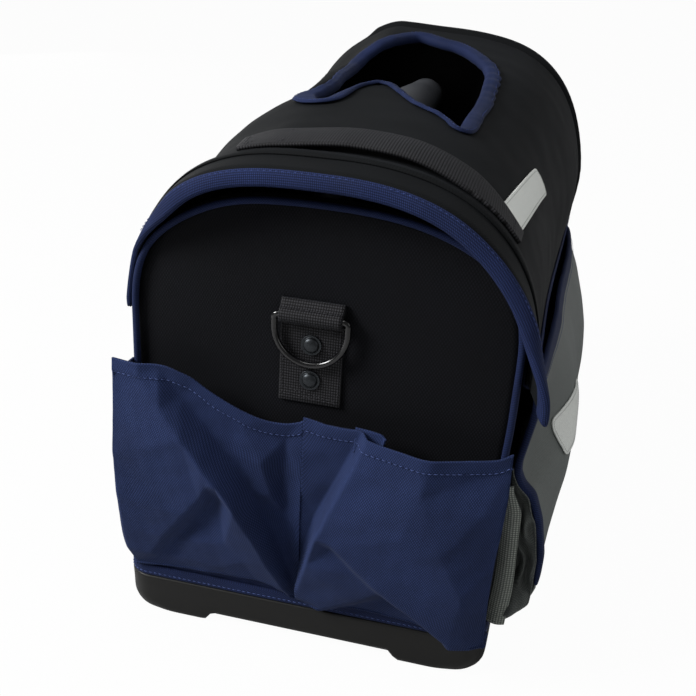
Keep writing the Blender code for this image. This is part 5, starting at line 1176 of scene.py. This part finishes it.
RIGHT_FOLDS = {"c0": (-5, 208, 9), "c1": (-5, 159, 9), "c2": (-5, 146, 9), "c3": (-5, 121, 9),
               "c4": (-5, 92, 8), "c5": (-5, 63, 5), "c6": (-5, 34, 3), "i1": (15, 208, 10),
               "i2": (34, 208, 13), "i4": (30, 149, 11), "i5": (20, 125, 9), "i6": (9, 98, 6),
               "i7": (1, 64, 4), "i8": (36, 164, 14), "t0": (40, 208, 20), "t1": (51, 208, 24),
               "g0": (39, 164, 21), "g1": (33, 147, 24), "g2": (26, 130, 27), "g3": (19, 112, 30),
               "g4": (14, 100, 32), "g5": (7, 74, 24), "g6": (-3, 40, 11), "f1": (25, 97, 32),
               "f2": (40, 83, 31), "f3": (55, 70, 30), "f4": (70, 58, 28), "f5": (84, 47, 26),
               "f6": (98, 35, 23), "f1b": (24, 91, 25), "f2b": (40, 76, 25), "a3": (54, 64, 23),
               "a4": (38, 50, 18), "a5": (19, 36, 11), "d1": (24, 33, 4), "d5": (42, 44, 8),
               "d6": (58, 56, 12), "f4b": (73, 50, 12), "f5b": (87, 39, 11), "d2": (52, 34, 5),
               "d3": (74, 31, 5), "d4": (92, 28, 10), "f7": (110, 34, 19), "f8": (121, 34, 11),
               "t2": (69, 208, 25), "t3": (86, 208, 23), "t4": (99, 208, 18), "t5": (112, 208, 12),
               "t6": (119, 208, 8), "t7": (126, 208, 5), "e2": (122, 160, 10), "e3": (125, 139, 13),
               "e4": (124, 119, 16), "e5": (123, 100, 16), "e6": (122, 72, 14), "e7": (123, 40, 10),
               "p1": (74, 138, 30), "p2": (65, 111, 33), "p3": (89, 103, 32), "p4": (103, 77, 29),
               "p5": (108, 129, 23), "z1": (-5, 20, 3), "z2": (60, 20, 4), "z3": (97, 20, 16),
               "z4": (126, 20, 10)}
RIGHT_CREASES = [("t0", "g0", "g1", "g2", "g3", "g4", "g5", "g6"), ("i2", "i8", "i4", "i5", "i6", "i7"),
                 ("g4", "f1", "f2", "f3", "f4", "f5", "f6"), ("f1b", "f2b", "a3"), ("a3", "a4", "a5"),
                 ("d1", "d5", "d6", "f4b", "f5b")]

# %% [markdown]
# Each pouch is then one sheet: the folded front, a turn back to the wall at its outer side and at
# its foot, and a hem 8 mm deep along its mouth, doubled, with one row of stitches. The front left
# pouch leans in with the wall. Beside each right pouch shows the end of the pleat's inner layer.

# %% End pouches
POUCH_THICK, HEM_DEPTH, HEM_RISE = 0.0012, 0.0078, 0.0006


def pouch(name, end, side, places, creases, outer, seam_x, mouth, foot, node):
    """The sheet as a grid: rows from the foot to the mouth, columns from the wall round the outer
    side to the middle seam. outer, mouth and foot are lists of (across, up) in millimetres. The
    returns follow powers of sin t and cos t, t from a right angle at the wall to 0 at the front,
    and the mouth's return droops by 8 mm towards the wall."""
    outer = np.array(outer, dtype=float) * MM
    order = np.argsort(outer[:, 1])
    u, v = np.meshgrid(np.linspace(0, 1, 200), np.linspace(0, 1, 150))
    spots = np.linspace(-0.130, 0.130, 261)

    def soft_line(line):
        """Heights of a line at the spots, blurred over 2.2 mm."""
        heights = np.interp(spots, *np.array(line, dtype=float).T * MM)
        return blur(np.tile(heights, (3, 1)), 2.2)[1]

    top_line, low_line = soft_line(mouth), soft_line(foot)
    z = FOOT_Z + v * 0.13
    for _ in range(3):
        edge = np.interp(z, outer[order, 1], outer[order, 0])
        x = edge + (seam_x * MM - edge) * u
        top, low = np.interp(x, spots, top_line), np.interp(x, spots, low_line)
        z = low + v * (top - low)
    out = blur(folded(places, creases, x, z), 1.7)
    out += 0.00035 * waves(x, z, 0.03, 61 + side) + 0.0002 * waves(x, z, 0.012, 67 + side)
    out = np.maximum(out, 0.0015) + HEM_RISE * ease(z - top, -0.0086, -0.0080)
    turn = np.linspace(np.pi / 2, 0, 9)[:-1]
    side_z = z[:, :1]
    leans = 0.0070 * ease(side_z, 0.125, 0.185) if end < 0 and side < 0 else 0.0
    wall_x = side * (WALL_X + 0.0022 - 0.0055 * (1 - ease(side_z, 0.035, 0.065)) - leans)
    back_x = x[:, :1] + (wall_x - x[:, :1]) * np.sin(turn) ** 1.5
    back_out = 0.0008 + (out[:, :1] - 0.0008) * np.cos(turn) ** 0.7
    droop = ((side_z - z[0, 0]) / (z[-1, 0] - z[0, 0])) ** 6
    x = np.concatenate([back_x, x], axis=1)
    z = np.concatenate([side_z - 0.0080 * droop * np.sin(turn), z], axis=1)
    out = np.concatenate([back_out, out], axis=1)
    down = np.linspace(np.pi / 2, 0, 7)[:-1][:, None]
    foot_out = 0.0010 + (out[:1] - 0.0010) * np.cos(down) ** 0.8
    x = np.concatenate([np.repeat(x[:1], 6, axis=0), x])
    z = np.concatenate([z[:1] + 0.0020 * np.sin(down), z])
    out = np.concatenate([foot_out, out])
    grid = np.stack([x, end * (WALL_Y + SEWN_GAP + out), z], axis=-1)
    # The weave follows the folds, smoothed, so that its threads don't crowd on the steep ones.
    uv = np.stack([blur(cloth_uv(grid)[..., 0], 6), z - 0.2 * blur(out, 6)], axis=-1)
    sheet = skin(name, grid, navy_cloth, inside=(0, end * 0.1, 0.1), uv=uv, thickness=POUCH_THICK)
    cloth(sheet)
    keep(sheet, "body", "navy_fabric", node)
    columns = np.arange(4, grid.shape[1] - 2)
    hem = np.argmin(np.abs(z - (z[-1] - HEM_DEPTH)[None]), axis=0)[columns]
    hem_normals = surface_normals(grid, (0, end * 0.1, 0.1))[hem, columns]
    line = grid[hem, columns] + 0.0002 * hem_normals
    keep(stitches(name + "_hem_stitches", spaced(line, 200), unit(spaced(hem_normals, 200)), pale_thread),
         "body", "navy_fabric")


# Outlines of the two pouches, in millimetres: (across, up) down the outer side, along the mouth and
# along the foot. The middle seam lies 0.6 mm left of the middle.
LEFT_OUTER = [(-114, 196), (-113.5, 170), (-113, 145), (-112, 116), (-111, 96), (-111, 74), (-111, 56),
              (-110, 42), (-109, 30)]
LEFT_MOUTH = [(-114, 191), (-99, 190.5), (-88, 190.5), (-81, 189.5), (-68, 184.5), (-56, 176),
              (-44, 169.5), (-33, 164.5), (-22, 161), (-12, 160), (-4, 161.5), (0, 165)]
RIGHT_OUTER = [(121, 190), (121, 160), (121.5, 140), (120.5, 119), (119, 100), (118, 72), (118.5, 40),
               (119, 30)]
RIGHT_MOUTH = [(-1, 166.5), (13, 165), (27, 165.5), (34, 166.5), (39, 165), (50, 164), (66, 163),
               (85, 162), (103, 162), (112, 162), (117, 163), (121, 166.5)]
LEFT_FOOT = [(-114, 36.5), (-100, 38), (-88, 39.5), (-67, 41.5), (-45, 43.5), (-26, 44.5), (-14, 44),
             (-9, 39), (-5, 33), (0, 32)]
RIGHT_FOOT = [(-1, 36), (6, 33), (17, 32), (28, 36), (50, 37), (80, 36), (92, 34), (99, 33.5), (121, 33.5)]
SEAM_X = -0.6


def pleat_tail(name, end):
    """The end of the pleat's inner layer, 18 mm long, with its tip rounded by sqrt(1 - u^3). It
    shows behind the corner of the outer layer."""
    u, v = np.meshgrid(np.linspace(0, 1, 24), np.linspace(0, 1, 10))
    tip = np.sqrt(np.clip(1 - u ** 3, 0, 1))
    x, z = 0.031 + 0.0180 * u, 0.1672 - (1 - v) * 0.0150 * tip - 0.0022 * (1 - tip)
    out = 0.0150 + 0.0022 * u - 0.0020 * v
    tail = skin(name, np.stack([x, end * (WALL_Y + out), z], axis=-1), navy_cloth, inside=(0, 0, 0.15),
                thickness=POUCH_THICK)
    cloth(tail)
    keep(tail, "body", "navy_fabric")


for end, label in ((-1, "front"), (1, "rear")):
    pouch(label + "_left_pouch", end, -1, LEFT_FOLDS, LEFT_CREASES, LEFT_OUTER, SEAM_X, LEFT_MOUTH,
          LEFT_FOOT, label + "_left_pocket")
    pouch(label + "_right_pouch", end, 1, RIGHT_FOLDS, RIGHT_CREASES, RIGHT_OUTER, SEAM_X, RIGHT_MOUTH,
          RIGHT_FOOT, label + "_right_pocket")
    pleat_tail(label + "_pleat_tail", end)

# %% [markdown]
# ## Big side pockets
# A grey panel bulges from each side wall. Its mouth is bound in navy. On the right its front edge
# runs down the wall and then swings out, and a pleated grey gusset closes the gap behind that edge.
# On the left the edge lies nearly closed. The bulge comes from two tables by height: how far the
# panel stands out in the middle, and how far its front edge does.

# %% Side pocket shape
SIDE_FRONT, SIDE_REAR, SIDE_LOW, SIDE_TOP = -0.1815, 0.1720, 0.0385, 0.1945
PANEL_THICK, EDGING_LOW, GUSSET_TOP = 0.0014, 0.0690, 0.1460
# Bulge of the pocket by height, and reach of its front edge on the right and the left, in mm.
BULGE = [(38.5, 6), (46, 17), (60, 26), (85, 34), (104, 37.5), (120, 38), (135, 36.5), (151, 33),
         (170, 27), (182, 21), (194.5, 15)]
RIGHT_EDGE = [(38.5, 24), (60, 28), (89, 28.5), (112, 24.5), (129, 18.5), (134, 12), (142, 8), (150, 7.5),
              (166, 9.5), (180, 11.5), (194.5, 11.5)]
LEFT_EDGE = [(38.5, 6), (89, 7), (129, 6), (150, 4.5), (194.5, 3)]


def by_height(table, z):
    """A table of (height, value) in mm, joined and then smoothed over 9 mm."""
    spots = np.linspace(0.020, 0.215, 196)
    rough = np.interp(spots, *np.array(table, dtype=float).T * MM)
    kernel = np.hanning(11)
    soft = np.convolve(np.pad(rough, 5, mode="edge"), kernel / kernel.sum(), mode="valid")
    return np.interp(z, spots, soft)


def edge_reach(z, side):
    """How far the front edge stands out at a height, before the panel's own bulge limits it."""
    return by_height(RIGHT_EDGE if side > 0 else LEFT_EDGE, z)


def side_out(y, z, side):
    """Bulge at a place: the edge's own reach at the front, eased over to the full bulge within 80 to
    135 mm. The foot turns under by a quarter circle of 7 mm. The rear end is boxy and round:
    (1 - (1 - r)^4.5)^(1/4.5), with r falling from 1 at half length to 0 at the end."""
    share = np.clip((y - SIDE_FRONT) / (SIDE_REAR - SIDE_FRONT), 0, 1)
    turn = np.sqrt(1 - (1 - np.clip((z - SIDE_LOW) / 0.007, 0, 1)) ** 2)
    full = by_height(BULGE, z) * turn
    front = np.minimum(edge_reach(z, side), full)
    rear = (2 - 2 * share.clip(0.5, 1)).clip(0, 1)
    rear = (1 - (1 - rear) ** 4.5) ** (1 / 4.5)
    length = 0.090 + 0.045 * ease(z, 0.115, 0.160) if side > 0 else 0.080
    blend = ease(y - SIDE_FRONT, 0.0, length)
    return front * (1 - blend) + full * rear * blend


# %% Panel, mouth tape and front edging
def side_pocket(label, side):
    """Panel, mouth tape and front edging of one side. The panel's waves of 1 and 0.4 mm fade out
    within 30 mm of its sewn edges, and the edging's foot is rounded as sqrt(1 - s^2)."""
    shares = np.concatenate([np.linspace(0, 0.04, 9)[:-1], np.linspace(0.04, 1, 76)])
    u, v = np.meshgrid(np.linspace(0, 1, 170), shares)
    y = SIDE_FRONT + (SIDE_REAR - SIDE_FRONT) * u
    z = SIDE_LOW + (SIDE_TOP - SIDE_LOW) * v
    sag = 0.0010 * waves(y, z, 0.12, 71 + side) + 0.0004 * waves(y, z, 0.035, 73 + side)
    inner = ease(y - SIDE_FRONT, 0, 0.03) * ease(SIDE_REAR - y, 0, 0.03) * ease(z - SIDE_LOW, 0, 0.03)
    out = side_out(y, z, side) + sag * inner
    grid = settle(np.stack([side * (WALL_X + SEWN_GAP + out), y, z], axis=-1))
    panel = skin(label + "_grey_pocket", grid, grey_cloth, inside=(side * 0.05, 0, 0.1),
                 thickness=PANEL_THICK)
    cloth(panel)
    keep(panel, "body", "grey_fabric", label + "_side_pocket")
    normals = surface_normals(grid, (side * 0.05, 0, 0.1))
    tape = fold_tape(label + "_mouth_tape", grid[-1], unit(grid[-2] - grid[-1]), normals[-1], navy_tape,
                     0.0090, wall=PANEL_THICK, tape=0.0009, gap=0.0002)
    keep(tape, "body", "navy_binding", label + "_pocket_binding")
    keep(stitches(label + "_mouth_stitches", grid[-5] + 0.0014 * normals[-5], normals[-5], navy_thread),
         "body", "navy_binding")
    heights = np.linspace(SIDE_TOP - 0.001, EDGING_LOW, 90)
    reach = np.minimum(edge_reach(heights, side), by_height(BULGE, heights))
    edge = settle(np.column_stack([side * (WALL_X + SEWN_GAP + reach), np.full(90, SIDE_FRONT), heights]))
    into = alike((0, 1, 0), 90)
    up = unit(np.cross(into, unit(np.gradient(edge, axis=0)))) * side
    up = up * np.sign((up[:, 0] * side).mean())
    tips = np.ones(90)
    tips[-8:] = np.sqrt(1 - (np.arange(1, 9) / 9.2) ** 2)
    edging = fold_tape(label + "_front_edging", edge, into, up, navy_tape, 0.0080, wall=PANEL_THICK,
                       gap=0.0003, puff=0.0006, scale=tips)
    keep(edging, "body", "navy_binding", label + "_pocket_edging")


# %% Gussets
def gusset(label, side):
    """Bunched grey cloth between the wall and the edging. Its folds are |sin(pi p)|^1.4 with a phase
    p that leans and crowds, on a hollow 0.008 sin(pi t)^0.6, and a knot fills the hollow at the
    foot. They grow with the gap that they close."""
    t, v = np.meshgrid(np.linspace(0, 1, 130), np.linspace(0, 1, 90))
    z = SIDE_LOW + v * (GUSSET_TOP - SIDE_LOW)
    reach = np.minimum(edge_reach(z, side) - 0.0028, by_height(BULGE, z)).clip(0.001)
    phase = 2.4 * t ** 0.8 + 0.5 * np.sin(v * 7.0 + t * 4) + 0.25 * np.sin(v * 19.0 - t * 5)
    fold = np.abs(np.sin(phase * np.pi)) ** 1.4
    size = np.maximum(reach / 0.03, 0.5)
    knot = bell(t - 0.75, 0.28) * bell(v - 0.10, 0.09)
    hollow = 0.0080 * np.sin(t * np.pi) ** 0.6 * (1 - knot)
    y = SIDE_FRONT - 0.0016 + size * (hollow - 0.0065 * fold - 0.0050 * knot)
    y += 0.0007 * waves(t * 0.05, z, 0.012, 77)
    grid = np.stack([side * (WALL_X + SEWN_GAP + t * reach), y, z], axis=-1)
    # The gusset cloth's darker colours are painted shade.
    sheet = skin(label + "_pleated_gusset", grid, gusset_cloth_painted_shade, inside=(side * 0.13, 0, 0.08),
                 thickness=0.0008)
    cloth(sheet)
    keep(sheet, "body", "grey_fabric", label + "_gusset")


def gusset_tape(label, side):
    """The ribbed tape in front of the gusset, 12 mm wide and narrower at its top. On the right it
    stands off the wall and wavers, and on the left it is folded flat along the wall."""
    w, v = np.meshgrid(np.linspace(0, 1, 24), np.linspace(0, 1, 80))
    z = SIDE_LOW + 0.002 + v * (0.1360 - SIDE_LOW)
    wide = 0.0122 * (1 - 0.50 * ease(v, 0.80, 1.0)) * (0.95 + 0.05 * np.sin(v * 9))
    if side > 0:
        lean = 0.0012 + 0.0022 * np.sin(v * 3.4) ** 2 + wide * w
        y = SIDE_FRONT - 0.0058 - 0.0020 * np.sin(w * np.pi) - 0.0012 * w + 0.0009 * np.sin(v * 11.0)
    else:
        lean = 0.0010 + 0.0012 * np.sin(w * np.pi)
        y = SIDE_FRONT - 0.0075 + wide * w
    grid = np.stack([side * (WALL_X + SEWN_GAP + lean), y, z], axis=-1)
    tape = skin(label + "_gusset_tape", grid, grey_ribbed, inside=(side * 0.12, 0, 0.08), thickness=0.0010)
    cloth(tape)
    keep(tape, "body", "grey_binding", label + "_gusset_binding")


for label, side in (("left", -1), ("right", 1)):
    side_pocket(label, side)
    gusset(label, side)
    gusset_tape(label, side)

# %% [markdown]
# ## Labels
# Two woven labels are sewn to the right side, one on the lid and one on the pocket. They are left
# bare. Each is a thin sheet with round corners, with a line of stitches just inside its edge.

# %% Bare labels
def label_sheet(name, length, width, place, body, node, corner=0.006):
    """A sheet with round corners: near each end its half width is less by r - sqrt(r^2 - (r - d)^2),
    with r the corner's radius and d the distance to the end. It is then put in its place."""
    u, v = np.meshgrid(np.linspace(-1, 1, 60), np.linspace(-1, 1, 24))
    reach = length / 2 - np.abs(u * length / 2)
    short = corner - np.sqrt(np.maximum(corner ** 2 - (corner - np.minimum(reach, corner)) ** 2, 0))
    along, across = u * length / 2, v * (width / 2 - short)
    grid, normals = place(along, across)
    sheet = skin(name, grid + 0.0013 * normals, label_white, inside=(0, 0, 0.1),
                 uv=np.stack([along, across], axis=-1), thickness=0.0009)
    cloth(sheet)
    keep(sheet, body, "label_white", node)
    inset = 0.0018
    border = spaced(closed_line(rounded_bar(length - 2 * inset, width - 2 * inset, corner - inset, 8)), 260)
    line, line_normals = place(*border.T)
    keep(stitches(name + "_stitches", line + 0.00135 * line_normals, line_normals, grey_thread,
                  pitch=1.7 * MM, length=1.4 * MM, thick=0.3 * MM), body, "label_white")


def on_lid(along, across):
    """Place on the lid's right flank, on a line that drops by 18 mm away from the front."""
    y = -0.0995 + along
    middle = 0.757 + 0.043 * (along + 0.064) / 0.128
    return lid_point(middle + across / ARCH_LENGTH, y)


def on_pocket(along, across):
    """Place on the right pocket's outer face."""
    y, z = -0.080 + along, 0.1360 + across
    out = side_out(y, z, 1)
    slope_y = (side_out(y + 1e-4, z, 1) - out) / 1e-4
    slope_z = (side_out(y, z + 1e-4, 1) - out) / 1e-4
    normal = unit(np.stack([np.ones_like(y), -slope_y, -slope_z], axis=-1))
    return np.stack([WALL_X + SEWN_GAP + out + 0.0006, y, z], axis=-1), normal


label_sheet("bare_lid_label", 0.1285, 0.0195, on_lid, "lid", "lid_label")
label_sheet("bare_pocket_label", 0.0760, 0.0240, on_pocket, "body", "pocket_label")

# %% [markdown]
# ## Pieces that keep their CAD shape
# Boards and brackets are plain rigid pieces inside the bag, and their CAD shape is right. They
# only get their finish.

# %% Finish of the rigid inner pieces
# Their darkened black is partly painted shade, for where they show through the gap under the hood.
for name in ("base_board", "front_board", "rear_board", "front_bracket", "rear_bracket"):
    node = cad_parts[name]
    for index in range(max(len(node.data.materials), 1)):
        if node.material_slots:
            node.material_slots[index].material = board_plastic_painted_shade
        else:
            node.data.materials.append(board_plastic_painted_shade)
    print(name, "keeps its CAD shape")

# %% [markdown]
# ## Floor and light
# The bag stands on a wide pale floor under broad soft lamps: a strong one at the front left, a weak
# one overhead, and weak ones from the right and from behind, so that no side is left dark. The
# floor is nearly white to the camera by its own glow, and grey to all other rays, so it keeps the
# bag's shadow. The world is plain white where the camera looks past the floor.

# %% Floor, lamps and world
floor_material, floor_tree, floor_shader = new_material("pale_floor", Roughness=0.9, Specular_IOR_Level=0.1)
floor_shader.inputs["Base Color"].default_value = (0.50, 0.50, 0.50, 1)
FLOOR_GLOW, WORLD_STRENGTH, FLOOR_HALF = 0.97, 0.21, 14
seen = add(floor_tree, "LightPath")
glow = add(floor_tree, "Emission", {"Color": (1, 1, 1, 1), "Strength": 1.0}).outputs[0]
toward = add(floor_tree, "Math", {0: seen.outputs["Is Camera Ray"], 1: FLOOR_GLOW},
             operation="MULTIPLY").outputs[0]
mixed = add(floor_tree, "MixShader", {0: toward, 1: floor_shader.outputs[0], 2: glow}).outputs[0]
output = next(node for node in floor_tree.nodes if node.type == "OUTPUT_MATERIAL")
floor_tree.links.new(mixed, output.inputs["Surface"])
u, v = np.meshgrid(*[np.linspace(-FLOOR_HALF, FLOOR_HALF, 30)] * 2)
floor = skin("floor", np.stack([u, v, np.zeros_like(u)], axis=-1), floor_material, inside=(0, 0, -1))

world = bpy.data.worlds.new("studio")
bpy.context.scene.world = world
world.use_nodes = True
tree = world.node_tree
tree.nodes.clear()
path = add(tree, "LightPath")
seen = add(tree, "Math", {0: path.outputs["Is Camera Ray"], 1: path.outputs["Is Transmission Ray"]},
           operation="MAXIMUM").outputs[0]
around = add(tree, "Background", {"Color": (1, 1, 1, 1), "Strength": WORLD_STRENGTH}).outputs[0]
beyond = add(tree, "Background", {"Color": (1, 1, 1, 1), "Strength": 1.0}).outputs[0]
both = add(tree, "MixShader", {0: seen, 1: around, 2: beyond}).outputs[0]
add(tree, "OutputWorld", {"Surface": both})


def lamp(name, place, aim, size, power):
    """A square area lamp at a place, turned to face a point."""
    data = bpy.data.lights.new(name, "AREA")
    data.shape = "SQUARE"
    data.size = size
    data.energy = power
    obj = bpy.data.objects.new(name, data)
    obj.location = place
    obj.rotation_euler = (Vector(aim) - Vector(place)).to_track_quat("-Z", "Y").to_euler()
    bpy.context.scene.collection.objects.link(obj)


lamp("overhead", (-0.3, -0.4, 1.7), (0, 0, 0.2), 0.9, 9)
lamp("left_front", (-1.5, -1.0, 1.3), (0, -0.1, 0.18), 0.7, 57)
lamp("right_front", (1.5, -0.5, 0.9), (0, 0, 0.15), 1.0, 4)
lamp("right_rear", (1.5, 1.5, 0.5), (0, 0.1, 0.15), 1.2, 5)
lamp("left_rear", (-1.6, 1.6, 0.6), (0, 0.2, 0.15), 1.2, 8)
print("floor, world and lamps made")
